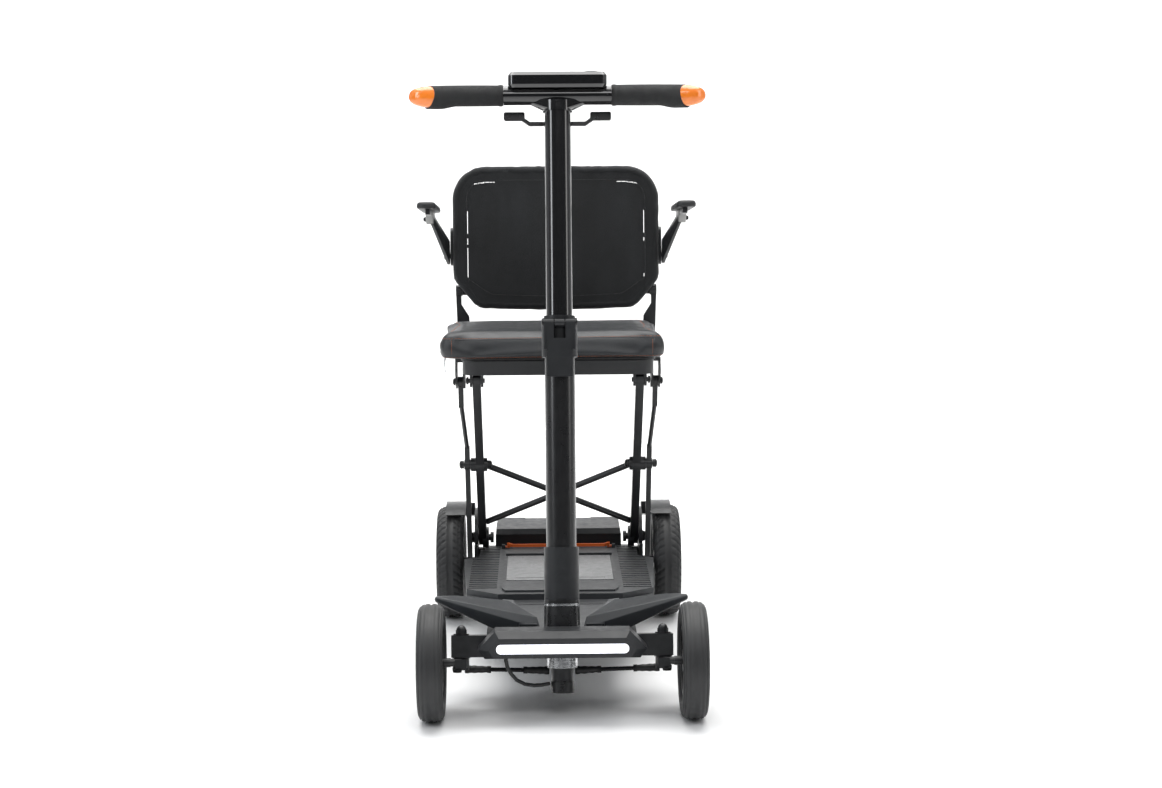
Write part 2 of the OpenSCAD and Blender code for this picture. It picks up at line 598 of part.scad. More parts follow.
module cam_lever() color("#2f3236") on_column() difference() {
    union() {
        along_x(-lever_w / 2, lever_w / 2) {
            translate(lever_pin) circle(r = lever_r);
            polygon([[lever_pin[0] - lever_r, lever_pin[1]], [lever_y - gap, lever_pin[1]],
                [lever_y - gap, lever_s0], [lever_y - 4.5, lever_s0], [lever_y - 8, lever_s0 + 30]]);
        }
        for (s = [-1, 1]) along_x(s * 21.5 - 2.4, s * 21.5 + 2.4) {
            translate(lever_pin) circle(r = lever_r);
            polygon([[lever_pin[0] - lever_r, lever_pin[1]], [lever_pin[0] + lever_r, lever_pin[1]],
                [lever_y + 3, lever_s0 + 42], [lever_y - 7, lever_s0 + 42]]);
        }
    }
    rod_x(lever_pin, -30, 30, 4 + 2 * fit);
    along_x(-9, 9) {
        translate(lever_pin) circle(r = 8);
        translate([lever_pin[0] - 12, lever_pin[1] - 24]) square([24, 40]);
    }
    rod_z([0, 0], lever_s0 - 1, clamp_s1 + 20, lower_tube_d + 9 + 2 * gap);
}
module upper_tube() color("#121315") on_column() difference() {
    rod_z([0, 0], lower_tube_end - 120, bar_s - 14, upper_tube_d);
    rod_z([0, 0], lower_tube_end - 121, bar_s - 20, upper_tube_d - 2 * tube_wall);
}
throttle_s = bar_s - 39;
throttle_pin = [0, upper_tube_d / 2 + 9];
module handlebar() color("#0f1012") on_column() {
    difference() {
        union() {
            rod_x([0, bar_s], -bar_w / 2 + 20, bar_w / 2 - 20, 24);
            rod_x([0, bar_s], -grip_in, grip_in, 30);
            rod_z([0, 0], bar_s - 26, bar_s - 10, upper_tube_d + 5);
            hull() {
                rod_x([0, bar_s - 8], -48, 48, 8);
                rod_z([0, 0], bar_s - 24, bar_s - 10, upper_tube_d + 3);
            }
        }
        rod_z([0, 0], bar_s - 40, bar_s - 14, upper_tube_d);
    }
    throttle_mount();
}
// bracket and pin that the throttle lever turns on
module throttle_mount() difference() {
    union() {
        rod_z(throttle_pin, throttle_s - 11, throttle_s + 24, 6);
        for (s = [throttle_s - 11, throttle_s + 7.5]) {
            rod_z(throttle_pin, s, s + 3.5, 14);
            translate([-6, upper_tube_d / 2 - 3, s]) cube([12, 12, 3.5]);
        }
        translate([-6, upper_tube_d / 2 - 3, throttle_s + 7.5]) cube([12, 10, 17]);
    }
    rod_z([0, 0], throttle_s - 20, throttle_s + 40, upper_tube_d);
}
module grip() {
    end = bar_w / 2 - lens_w;
    difference() {
        union() {
            rod_x([0, bar_s], grip_in + 0.2, end, grip_d);
            hull() {
                rod_x([-1, bar_s - 6], end - 34, end, grip_d - 6);
                rod_x([0, bar_s], end - 60, end, grip_d - 2);
            }
        }
        rod_x([0, bar_s], 0, end - 4, 24);
    }
}
module hand_grips() color("#2b2d2f") on_column() both_sides() grip();
module grip_lenses() color("#f08028") on_column() both_sides() {
    end = bar_w / 2 - lens_w;
    hull() {
        rod_x([0, bar_s - 2], end, end + 3, grip_d - 2);
        rod_x([-2, bar_s - 8], end + 8, end + lens_w, 12);
    }
}
console_s = bar_s + 12.5;
console_tilt = 7;
module on_console() { on_column() translate([0, 14, console_s]) rotate([console_tilt, 0, 0]) children(); }
module console_case() color("#1a1b1e") {
    on_console() difference() {
        hull() {
            linear_extrude(2) round_rect(146, 84, 10);
            translate([0, 0, 5]) linear_extrude(14) round_rect(154, 92, 13);
            translate([0, 0, 22]) linear_extrude(2) round_rect(146, 84, 10);
        }
        translate([0, 14, 21]) linear_extrude(4) round_rect(62, 34, 4);
        for (b = console_holes) translate([b[0], b[1], 12]) cylinder(h = 20, d = b[2] + 1);
        translate([-80, -27, -2]) cube([160, 26, 7]);
    }
    difference() {
        on_console() translate([-40, -26, -8.5]) cube([80, 34, 14.5]);
        console_tube_clear();
    }
}
module console_tube_clear() { on_column() rod_x([0, bar_s], -100, 100, 30); }
// controls on the console: X, Y and diameter
power_at = [-52, 16, 14];
horn_at = [-52, -14, 14];
dial_at = [53, 1, 26];
key_at = [54, 27, 12];
console_holes = [power_at, horn_at, dial_at, key_at];
module console_display() color("#0a2a3a") on_console() translate([0, 14, 21]) linear_extrude(3.2) round_rect(61, 33, 3.6);
module push_button(p) { translate([p[0], p[1], 14]) cylinder(h = 11.8, d = p[2]); }
module power_button() color("#b8402a") on_console() push_button(power_at);
module horn_button() color("#d8d8d8") on_console() push_button(horn_at);
module speed_dial() color("#202225") on_console() translate([dial_at[0], dial_at[1], 12.5]) difference() {
    union() {
        cylinder(h = 12.5, d = dial_at[2] - 2);
        translate([0, 0, 12]) cylinder(h = 3.2, d = dial_at[2] - 6);
    }
    translate([-1, 4, 14.4]) cube([2, 8, 3]);
}
module ignition_key() color("#b9bcc0") on_console() translate([key_at[0], key_at[1], 0]) {
    translate([0, 0, 13]) cylinder(h = 12, d = key_at[2] - 1);
    translate([-1.2, -5, 24]) cube([2.4, 10, 5.2]);
}
module throttle_lever() color("#1b1c1f") on_column() difference() {
    union() {
        rod_z(throttle_pin, throttle_s - 7, throttle_s + 7, 16);
        along_y(throttle_pin[1] - 1, throttle_pin[1] + 6) path2d([[-78, throttle_s + 12], [-58, throttle_s + 10],
            [-44, throttle_s], [44, throttle_s], [58, throttle_s + 10], [78, throttle_s + 12]], 6);
        for (s = [-1, 1]) translate([s * 68, 0, throttle_s + 12]) along_y(throttle_pin[1] - 1, throttle_pin[1] + 6)
            round_rect(33, 13, 3);
    }
    rod_z(throttle_pin, throttle_s - 10, throttle_s + 10, 6 + 2 * fit);
}
// ---------------------------------------------------------------- seat carrier
brace_d = 11;
module leg_side() {
    along_x(leg_x - leg_w / 2, leg_x + leg_w / 2) {
        bar2d(leg_foot, leg_pin, 28);
        bar2d(leg_pin, leg_top, 19);
    }
    rod_x(leg_pin, leg_x - leg_w / 2 - 6, strut_x - 6, 24);
    rod_x(leg_pin, strut_x - 7, strut_x + 7, link_pin_d);
    rod_x(leg_pin, strut_x + 6.4, strut_x + 10, 14);
    rod_x(leg_pin, leg_x - leg_w / 2 - 10, leg_x - leg_w / 2 - 6, 15);
    rod_x(leg_foot, leg_x - leg_w / 2 - 4, leg_x, leg_disc_d);
}
module leg_frame() color("#1e2022") at_origin() difference() {
    union() {
        both_sides() leg_side();
        for (s = [-1, 1]) {
            high = leg_at(leg_mid, 0);
            low = leg_at(44, 0);
            rod([-s * (leg_x - 8), high[0], high[1]], [s * (leg_x - 8), low[0], low[1]], brace_d);
        }
    }
    both_sides() rod_x(leg_foot, 100, 170, link_pin_d + 4 + 2 * fit);
    both_sides() rod_x(leg_top, 100, 170, link_pin_d + 2 * fit);
}
function lift(p, x) = [x, p[0], p[1]];
module strut() {
    bend_low = strut_at(strut_up * 0.2, 0);
    bend_high = strut_at(strut_up * 0.72, 0);
    difference() {
        union() {
            along_x(strut_x - strut_d / 2, strut_x + strut_d / 2) bar2d(strut_foot, bend_low, strut_d);
            rod(lift(bend_low, strut_x), lift(bend_high, strut_top_x), strut_d - 1);
            along_x(strut_top_x - strut_d / 2, strut_top_x + strut_d / 2) bar2d(bend_high, strut_top, strut_d);
            rod_x(strut_top, strut_top_x - strut_d / 2, strut_top_x + strut_d / 2, 18);
            rod_x(strut_foot, strut_x - strut_d / 2, strut_x + strut_d / 2, 12);
            rod_x(leg_pin, strut_x - 5.6, strut_x + 5.6, 18);
            rod_x(strut_foot, bracket_x - 1.7, strut_x, link_pin_d);
            rod_x(strut_top, seat_frame_w / 2 + 0.4, strut_top_x + 9, link_pin_d);
        }
        rod_x(leg_pin, strut_x - 10, strut_x + 10, link_pin_d + 2 * fit);
    }
}
module seat_struts() color("#22252a") at_origin() both_sides() strut();
module seat_frame() color("#343a44") at_origin() {
    difference() {
        slab(seat_frame_w, seat_front, seat_back, seat_frame_z - seat_frame_h, seat_frame_z, 26);
        slab(seat_frame_w - 48, seat_front + 24, seat_back - 24, seat_frame_z - seat_frame_h - 1, seat_frame_z + 1, 14);
        slab(seat_frame_w - 5, seat_front + 2.5, seat_back - 2.5, seat_frame_z - seat_frame_h + 2.5,
            seat_frame_z - 2.5, 24);
    }
    difference() {
        slab(cushion_w - 60, cushion_front + 20, cushion_front + cushion_l - 6, seat_frame_z, seat_z, 20);
        for (x = [-90, 0, 90], y = [80, 170, 260]) translate([x, cushion_front + y, seat_frame_z - 1]) cylinder(h = 6, d = 44);
    }
    both_sides() {
        for (x = [leg_x - leg_w / 2 - 4.5, leg_x + leg_w / 2 + 0.5]) along_x(x, x + 4) {
            translate(leg_top) circle(d = 22);
            translate([leg_top[0] - 11, leg_top[1]]) square([22, seat_frame_z - seat_frame_h - leg_top[1] + 2]);
        }
        rod_x(leg_top, leg_x - leg_w / 2 - 7, leg_x + leg_w / 2 + 7, link_pin_d);
        difference() {
            union() {
                along_x(seat_frame_w / 2 - 2.6, seat_frame_w / 2 + 1.2) slot_plate();
                along_x(strut_top_x + 5, strut_top_x + 8) slot_plate();
                translate([seat_frame_w / 2 - 1, strut_top[0] - 30, seat_frame_z - 8])
                    cube([strut_top_x + 9 - seat_frame_w / 2, 46, 6]);
            }
            along_x(seat_frame_w / 2 - 4, strut_top_x + 12) path2d(seat_slot, link_pin_d + 1.6);
        }
        upright();
    }
}
// bracket plate at the seat frame's side, around the path of the strut's top pin
module slot_plate() {
    path2d(seat_slot, link_pin_d + 16);
    translate([strut_top[0] - 30, strut_top[1] + 4]) square([46, seat_frame_z - strut_top[1] - 6]);
}
upright_out = back_half_w - 3;
upright_in = upright_out - 12;
module upright() {
    along_y(upright_y, upright_y + 8) polygon([[upright_in, hinge_z], [upright_out, hinge_z],
        [upright_out - 3, seat_frame_z - 13], [169, seat_frame_z - seat_frame_h],
        [136, seat_frame_z - seat_frame_h], [136, seat_frame_z], [upright_in - 14, seat_frame_z + 8],
        [upright_in - 12, hinge_z - 48], [upright_in + 2, hinge_z - 26], [upright_in + 2, hinge_z - 6]]);
    rod_x([hinge_y, hinge_z], upright_in, upright_out, 20);
    rod_x([hinge_y, hinge_z], upright_in - 16, upright_in, 8);
}
module seat_cushion() color("#2c2e33") at_origin() hull() {
    slab(cushion_w - 24, cushion_front + 12, cushion_front + cushion_l - 12, seat_z, seat_z + cushion_t, cushion_r - 12);
    slab(cushion_w, cushion_front, cushion_front + cushion_l, seat_z + 14, seat_z + cushion_t - 14, cushion_r);
}

// ---------------------------------------------------------------- backrest
module on_back() { at_origin() translate([0, hinge_y, hinge_z]) rotate([-back_lean, 0, 0]) children(); }
back_y = -14;
back_h = (back_top_z - hinge_z) / cos(back_lean) - back_tube_d / 2;
back_in = back_half_w - back_tube_d / 2;
back_corner = 52;
back_low = -24;
back_taper_z = 24;
back_taper_x = 42;
module elbow(x, z, r, a) {
    translate([x, back_y, z]) rotate([90, 0, 0]) rotate([0, 0, a])
        rotate_extrude(angle = 90) translate([r, 0]) circle(d = back_tube_d);
}
module back_tube(x0, z0, x1, z1) { rod([x0, back_y, z0], [x1, back_y, z1], back_tube_d); }
module back_frame() color("#202226") on_back() difference() {
    union() {
        for (s = [-1, 1]) {
            back_tube(s * back_in, back_taper_z, s * back_in, back_h - back_corner);
            back_tube(s * back_in, back_taper_z, s * (back_in - back_taper_x), back_low);
            translate([s * back_in, back_y, back_taper_z]) sphere(d = back_tube_d + 0.4);
            translate([s * (back_in - back_taper_x), back_y, back_low]) sphere(d = back_tube_d + 0.4);
        }
        back_tube(-back_in + back_corner, back_h, back_in - back_corner, back_h);
        back_tube(-back_in + back_taper_x, back_low, back_in - back_taper_x, back_low);
        elbow(back_in - back_corner, back_h - back_corner, back_corner, 0);
        elbow(-back_in + back_corner, back_h - back_corner, back_corner, 90);
        both_sides() {
            along_x(upright_in - 20, upright_in - gap) {
                circle(d = 17);
                translate([back_y, -8.5]) square([-back_y, 17]);
            }
            along_x(back_half_w - 2, back_half_w + 6) bar2d(arm_at - [0, 8], arm_at + [0, 42], 20);
            rod_x(arm_at, back_in, back_half_w + 13, 10);
            rod_x(arm_at, back_half_w + 12.4, back_half_w + 16, 15);
        }
    }
    both_sides() rod_x([0, 0], upright_in - 18, upright_in + 30, 8 + 2 * fit);
}
arm_at = [-6, 64];
mesh_t = 3;
module back_mesh() color("#1c1d20") on_back() {
    w = back_half_w - 2;
    r = back_corner + 2;
    y1 = back_y - back_tube_d / 2 - 0.3;
    along_y(y1 - mesh_t, y1) polygon(concat(
        [for (a = [0:10:90]) [w - r + r * cos(a), back_h + 6 - r + r * sin(a)]],
        [for (a = [90:10:180]) [-w + r + r * cos(a), back_h + 6 - r + r * sin(a)]],
        [[-w, back_taper_z + 4], [-w + back_taper_x, back_low - 6], [w - back_taper_x, back_low - 6],
            [w, back_taper_z + 4]]));
}
// armrest, drawn on the right: swings up about the bracket's pivot
pad_in = 211;
pad_out = 244;
pad_len = 200;
module arm_body() {
    x0 = back_half_w + 7;
    difference() {
        union() {
            rod_x(arm_at, x0, x0 + 5, 26);
            hull() {
                along_x(x0, x0 + 5) translate(arm_at + [-6, -6]) circle(r = 10, $fn = 32);
                along_x(x0, x0 + 5) translate(arm_at + [-8, 18]) circle(r = 10, $fn = 32);
                along_x(pad_in + 12, pad_in + 16) translate([-120, 130]) circle(r = 7, $fn = 32);
                along_x(pad_in + 12, pad_in + 16) translate([-108, 134]) circle(r = 7, $fn = 32);
            }
            along_x(pad_in + 10, pad_in + 18) translate([-pad_len - 36, 132]) square([pad_len, 10]);
        }
        rod_x(arm_at, x0 - 1, x0 + 7, 10 + 2 * fit);
        rod_x(arm_at, x0 + 5, x0 + 40, 17);
        translate([back_half_w - 20, -60, 0]) cube([26.6, 120, 200]);
    }
}
module arm_pad() {
    translate([(pad_in + pad_out) / 2, -pad_len / 2 - 40, 142]) linear_extrude(12)
        round_rect(pad_out - pad_in, pad_len + 12, 14);
}
module armrest_right() color("#1f2124") on_back() arm_body();
module armrest_left() color("#1f2124") on_back() mirror([1, 0, 0]) arm_body();
module arm_pad_right() color("#2a2c2f") on_back() arm_pad();
module arm_pad_left() color("#2a2c2f") on_back() mirror([1, 0, 0]) arm_pad();

chassis_frame();
battery_pack();
controller();
deck_shell();
deck_hatch();
front_beam();
bumper_cover();
headlight_lens();
front_wings();
bearing_ring();
steering_column();
head_collar();
column_cap();
sensor_cable();
tie_rod_left();
tie_rod_right();
knuckle_left();
knuckle_right();
front_tyre_left();
front_tyre_right();
front_rim_left();
front_rim_right();
rear_tyre_left();
rear_tyre_right();
rear_rim_left();
rear_rim_right();
axle_housing();
drive_motor();
motor_cover();
motor_cover_lid();
rear_brackets();
leg_bolts();
rear_fenders();
release_handle();
fold_ring();
lower_tube();
lock_sleeve();
clamp_collar();
cam_lever();
upper_tube();
handlebar();
hand_grips();
grip_lenses();
console_case();
console_display();
power_button();
horn_button();
speed_dial();
ignition_key();
throttle_lever();
leg_frame();
seat_struts();
seat_frame();
seat_cushion();
back_frame();
back_mesh();
armrest_left();
armrest_right();
arm_pad_left();
arm_pad_right();
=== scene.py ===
import math

import bmesh
import bpy
from mathutils import Matrix, Vector, noise
from mathutils.bvhtree import BVHTree

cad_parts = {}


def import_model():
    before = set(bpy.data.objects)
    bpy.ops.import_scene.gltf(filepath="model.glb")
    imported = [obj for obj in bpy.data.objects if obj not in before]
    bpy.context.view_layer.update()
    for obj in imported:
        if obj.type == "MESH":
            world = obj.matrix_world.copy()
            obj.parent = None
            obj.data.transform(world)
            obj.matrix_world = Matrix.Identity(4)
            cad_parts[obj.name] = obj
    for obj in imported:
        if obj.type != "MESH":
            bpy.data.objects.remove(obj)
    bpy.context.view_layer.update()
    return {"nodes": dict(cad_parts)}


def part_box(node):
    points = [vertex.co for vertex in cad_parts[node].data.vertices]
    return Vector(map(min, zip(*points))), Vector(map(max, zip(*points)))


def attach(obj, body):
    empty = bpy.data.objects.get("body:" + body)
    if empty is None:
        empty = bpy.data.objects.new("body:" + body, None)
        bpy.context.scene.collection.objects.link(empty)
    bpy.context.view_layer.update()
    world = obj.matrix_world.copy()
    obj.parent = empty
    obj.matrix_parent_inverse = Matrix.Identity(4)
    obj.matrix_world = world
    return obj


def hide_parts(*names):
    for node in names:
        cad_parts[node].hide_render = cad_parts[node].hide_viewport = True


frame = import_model()
nodes = frame["nodes"]
scene = bpy.context.scene
MM = 0.001
# millimetres, from the front axle and the floor
ORIGIN_Y = 365.0  # the frame's origin
WHEELBASE = 690.0
FRONT_HUB_Z, REAR_HUB_Z = 90.0, 101.5
LEG_PIVOT_Z = 146.0
BAR_S = 966.0  # the handlebar's place up the leaning column


# ------------------------------------------------------------------ materials
def socket(tree, node, name, value):
    if hasattr(value, "is_output") and value.is_output:
        tree.links.new(value, node.inputs[name])
    else:
        node.inputs[name].default_value = value


def add(tree, kind, **inputs):
    n = tree.nodes.new(kind)
    for k, v in inputs.items():
        socket(tree, n, k.replace("_", " "), v)
    return n


def math_node(tree, op, a, b=0.0):
    n = tree.nodes.new("ShaderNodeMath")
    n.operation = op
    socket(tree, n, 0, a)
    socket(tree, n, 1, b)
    return n.outputs[0]


def ramp(tree, fac, stops):
    n = tree.nodes.new("ShaderNodeValToRGB")
    cr = n.color_ramp
    while len(cr.elements) < len(stops):
        cr.elements.new(0.5)
    for e, (pos, val) in zip(cr.elements, stops):
        e.position = pos
        e.color = (*val[:3], 1) if hasattr(val, "__len__") else (val, val, val, 1)
    tree.links.new(fac, n.inputs[0])
    return n.outputs[0]


def shade(c, k):
    return tuple(min(1.0, x * k) for x in c)


def noise_tex(tree, scale, detail=4.0, rough=0.55, stretch=(1, 1, 1)):
    tc = tree.nodes.new("ShaderNodeTexCoord")
    mp = tree.nodes.new("ShaderNodeMapping")
    mp.inputs["Scale"].default_value = stretch
    tree.links.new(tc.outputs["Object"], mp.inputs[0])
    n = add(tree, "ShaderNodeTexNoise", Scale=scale, Detail=detail, Roughness=rough)
    tree.links.new(mp.outputs[0], n.inputs["Vector"])
    return n.outputs["Fac"]


def bump_chain(tree, layers):
    """layers: (height socket, strength, distance in metres)"""
    last = None
    for height, strength, dist in layers:
        b = add(tree, "ShaderNodeBump", Strength=strength, Distance=dist)
        tree.links.new(height, b.inputs["Height"])
        if last:
            tree.links.new(last, b.inputs["Normal"])
        last = b.outputs["Normal"]
    return last


def base(name):
    m = bpy.data.materials.new(name)
    m.use_nodes = True
    t = m.node_tree
    return m, t, t.nodes["Principled BSDF"]


def finish_mat(name, color, rough, grain=900.0, grain_depth=0.00006, mottle=0.12, rough_var=0.08,
               metallic=0.0, coat=0.0, coat_rough=0.08, specular=0.5, dust=0.0, streak=(1, 1, 1), extra=None):
    """Moulded plastic, paint, rubber or metal: mottled colour, uneven gloss and a fine surface grain."""
    m, t, p = base(name)
    big = noise_tex(t, 9.0, 5.0)
    mid = noise_tex(t, 70.0, 6.0, 0.6, streak)
    fine = noise_tex(t, grain, 3.0, 0.5, streak)
    mix = math_node(t, "ADD", math_node(t, "MULTIPLY", big, 0.6), math_node(t, "MULTIPLY", mid, 0.4))
    col = ramp(t, mix, [(0.3, shade(color, 1 - mottle)), (0.7, shade(color, 1 + mottle))])
    if dust:
        geo = t.nodes.new("ShaderNodeNewGeometry")
        sep = t.nodes.new("ShaderNodeSeparateXYZ")
        t.links.new(geo.outputs["Normal"], sep.inputs[0])
        up = math_node(t, "POWER", math_node(t, "MAXIMUM", sep.outputs["Z"], 0.0), 2.0)
        amount = math_node(t, "MULTIPLY", math_node(t, "MULTIPLY", up, mid), dust)
        mx = t.nodes.new("ShaderNodeMix")
        mx.data_type = "RGBA"
        t.links.new(amount, mx.inputs["Factor"])
        t.links.new(col, mx.inputs["A"])
        mx.inputs["B"].default_value = (0.35, 0.34, 0.32, 1)
        col = mx.outputs["Result"]
    t.links.new(col, p.inputs["Base Color"])
    rv = ramp(t, mid, [(0.3, max(0.02, rough - rough_var)), (0.72, min(1.0, rough + rough_var))])
    t.links.new(rv, p.inputs["Roughness"])
    p.inputs["Metallic"].default_value = metallic
    p.inputs["Coat Weight"].default_value = coat
    p.inputs["Coat Roughness"].default_value = coat_rough
    p.inputs["Specular IOR Level"].default_value = specular
    layers = [(fine, 0.35, grain_depth), (big, 0.12, 0.0006)]
    if extra:
        layers += extra(t)
    t.links.new(bump_chain(t, layers), p.inputs["Normal"])
    return m


def object_axes(t):
    tc = t.nodes.new("ShaderNodeTexCoord")
    sep = t.nodes.new("ShaderNodeSeparateXYZ")
    t.links.new(tc.outputs["Object"], sep.inputs[0])
    return sep.outputs


def sine(t, value, per_metre):
    return math_node(t, "SINE", math_node(t, "MULTIPLY", value, per_metre * 2 * math.pi))


def hatch_layer(t):
    """Fine diagonal hatch pressed into the grips."""
    ax = object_axes(t)
    above, behind = math_node(t, "SUBTRACT", ax["Z"], GRIP_Z), math_node(t, "SUBTRACT", ax["Y"], GRIP_Y)
    turn = math_node(t, "ARCTAN2", above, behind)
    a = math_node(t, "MULTIPLY", turn, 0.016)
    lines = sine(t, math_node(t, "ADD", ax["X"], a), 620.0)
    return [(lines, 1.0, 0.0009)]


def leather_layer(t):
    tc = t.nodes.new("ShaderNodeTexCoord")
    v = add(t, "ShaderNodeTexVoronoi", Scale=620.0)
    v.feature = "DISTANCE_TO_EDGE"
    t.links.new(tc.outputs["Object"], v.inputs["Vector"])
    return [(ramp(t, v.outputs["Distance"], [(0.0, 0.0), (0.12, 1.0)]), 0.28, 0.0002)]


def weave_mat(name, color, pitch):
    m, t, p = base(name)
    ax = object_axes(t)
    wx = sine(t, ax["X"], 1 / pitch)
    wz = sine(t, math_node(t, "ADD", ax["Z"], math_node(t, "MULTIPLY", ax["Y"], 0.6)), 1 / pitch)
    cross = math_node(t, "MULTIPLY", wx, wz)
    slow = noise_tex(t, 26.0, 3.0, 0.5, (1, 1, 0.25))
    fibre = noise_tex(t, 1300.0, 2.0)
    lum = math_node(t, "ADD", math_node(t, "MULTIPLY", cross, 0.22), math_node(t, "MULTIPLY", slow, 0.8))
    stops = [(0.1, shade(color, 0.45)), (0.5, color), (0.85, shade(color, 2.3))]
    t.links.new(ramp(t, lum, stops), p.inputs["Base Color"])
    p.inputs["Roughness"].default_value = 0.72
    p.inputs["Sheen Weight"].default_value = 0.25
    p.inputs["Sheen Roughness"].default_value = 0.4
    p.inputs["Specular IOR Level"].default_value = 0.35
    t.links.new(bump_chain(t, [(cross, 0.7, 0.0005), (fibre, 0.2, 0.0001)]), p.inputs["Normal"])
    return m


M = {}


def build_materials():
    M["frame_paint"] = finish_mat(
        "black_powder_coat", (0.012, 0.0128, 0.0142), 0.36, grain=1500, grain_depth=0.00008, coat=0.15,
        coat_rough=0.25)
    M["tube_gloss"] = finish_mat(
        "black_lacquer", (0.0045, 0.0046, 0.005), 0.16, grain=2200, grain_depth=0.00001, rough_var=0.03,
        coat=0.8, coat_rough=0.04, mottle=0.05)
    M["lower_lacquer"] = finish_mat(
        "satin_black_lacquer", (0.006, 0.0062, 0.0068), 0.3, grain=1800, grain_depth=0.00002,
        rough_var=0.04, coat=0.35, coat_rough=0.18, mottle=0.06)
    M["dark_plastic"] = finish_mat(
        "dark_moulded_plastic", (0.0125, 0.0137, 0.0155), 0.44, dust=0.02, specular=0.4)
    M["deck_plastic"] = finish_mat(
        "deck_plastic", (0.034, 0.0365, 0.0395), 0.5, grain=1100, dust=0.12, specular=0.4)
    M["hatch_plastic"] = finish_mat(
        "hatch_plastic", (0.034, 0.037, 0.039), 0.33, grain=1500, dust=0.08, coat=0.25, coat_rough=0.2)
    M["wing_plastic"] = finish_mat(
        "wing_plastic", (0.0185, 0.0212, 0.0245), 0.42, grain=1000, dust=0.03, specular=0.42)
    M["cap_plastic"] = finish_mat("pale_cap_plastic", (0.1, 0.106, 0.112), 0.5, dust=0.08)
    M["gloss_trim"] = finish_mat(
        "gloss_black_trim", (0.006, 0.0062, 0.0068), 0.14, grain=1900, grain_depth=0.00001, coat=0.9,
        coat_rough=0.05, rough_var=0.04, mottle=0.05)
    M["satin_trim"] = finish_mat(
        "satin_black_trim", (0.009, 0.0095, 0.0105), 0.3, grain=1500, grain_depth=0.00002, coat=0.2,
        coat_rough=0.2)
    M["orange_plastic"] = finish_mat(
        "orange_plastic", (0.72, 0.13, 0.022), 0.35, grain=1200, grain_depth=0.00002, mottle=0.08,
        coat=0.3, coat_rough=0.15)
    M["orange_lens"] = finish_mat(
        "orange_lens", (0.9, 0.21, 0.02), 0.16, grain=160, grain_depth=0.0003, mottle=0.22, coat=0.8,
        coat_rough=0.06, extra=facet_layer)
    M["grip_rubber"] = finish_mat(
        "hatched_grip_rubber", (0.0135, 0.014, 0.0148), 0.62, extra=hatch_layer, mottle=0.08)
    M["tyre_rubber"] = finish_mat(
        "tyre_rubber", (0.0165, 0.0172, 0.0182), 0.56, grain=700, grain_depth=0.00012, mottle=0.2,
        dust=0.12)
    M["rim_plastic"] = finish_mat("rim_plastic", (0.02, 0.0208, 0.022), 0.42)
    M["steel"] = finish_mat(
        "brushed_steel", (0.62, 0.63, 0.64), 0.26, metallic=1.0, streak=(1, 1, 14), grain=500,
        grain_depth=0.00004, mottle=0.1)
    M["bolt_steel"] = finish_mat(
        "black_oxide_bolt", (0.014, 0.0145, 0.0155), 0.34, metallic=0.5, mottle=0.15)
    M["cast_alloy"] = finish_mat(
        "cast_alloy", (0.16, 0.165, 0.17), 0.5, metallic=0.9, grain=420, grain_depth=0.0002)
    M["battery_case"] = finish_mat("battery_case", (0.014, 0.0145, 0.0165), 0.5)
    M["cable_rubber"] = finish_mat("cable_rubber", (0.0095, 0.0097, 0.0102), 0.5, mottle=0.15)
    M["seat_leather"] = finish_mat(
        "seat_leatherette", (0.0135, 0.015, 0.0172), 0.44, grain=1600, grain_depth=0.00005, mottle=0.1,
        rough_var=0.06, extra=leather_layer, specular=0.55)
    M["mesh_fabric"] = weave_mat("back_mesh_fabric", (0.0085, 0.0096, 0.011), 0.0017)
    M["thread"] = finish_mat(
        "orange_thread", (0.36, 0.105, 0.04), 0.7, grain=2600, grain_depth=0.0001, mottle=0.3)
    M["pad_foam"] = finish_mat("armrest_pad", (0.0145, 0.015, 0.016), 0.5, grain=1300, grain_depth=0.0001)
    M["clevis_alloy"] = finish_mat("pale_clevis", (0.26, 0.26, 0.255), 0.42, metallic=0.35, mottle=0.1)
    m, t, p = base("display_glass")
    glow = noise_tex(t, 60.0)
    deep = ramp(t, glow, [(0.3, (0.004, 0.006, 0.009)), (0.8, (0.01, 0.016, 0.022))])
    t.links.new(deep, p.inputs["Base Color"])
    p.inputs["Roughness"].default_value = 0.06
    p.inputs["Coat Weight"].default_value = 1.0
    M["display_glass"] = m
    m, t, p = base("headlight_lens")
    ax = object_axes(t)
    cells = math_node(t, "ABSOLUTE", sine(t, ax["X"], 44.0))
    t.links.new(ramp(t, cells, [(0.0, (0.86, 0.88, 1.0)), (1.0, (1.0, 1.0, 1.0))]), p.inputs["Base Color"])
    lit = ramp(t, cells, [(0.0, (0.8, 0.82, 1.0)), (1.0, (0.97, 0.97, 1.0))])
    t.links.new(lit, p.inputs["Emission Color"])
    p.inputs["Emission Strength"].default_value = 1.25
    p.inputs["Roughness"].default_value = 0.25
    M["lens_white"] = m


def facet_layer(t):
    tc = t.nodes.new("ShaderNodeTexCoord")
    v = add(t, "ShaderNodeTexVoronoi", Scale=190.0)
    t.links.new(tc.outputs["Object"], v.inputs["Vector"])
    return [(v.outputs["Distance"], 0.5, 0.0008)]


grip_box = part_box("hand_grips")
GRIP_Y = (grip_box[0][1] + grip_box[1][1]) / 2
GRIP_Z = grip_box[1][2] - 0.016
build_materials()

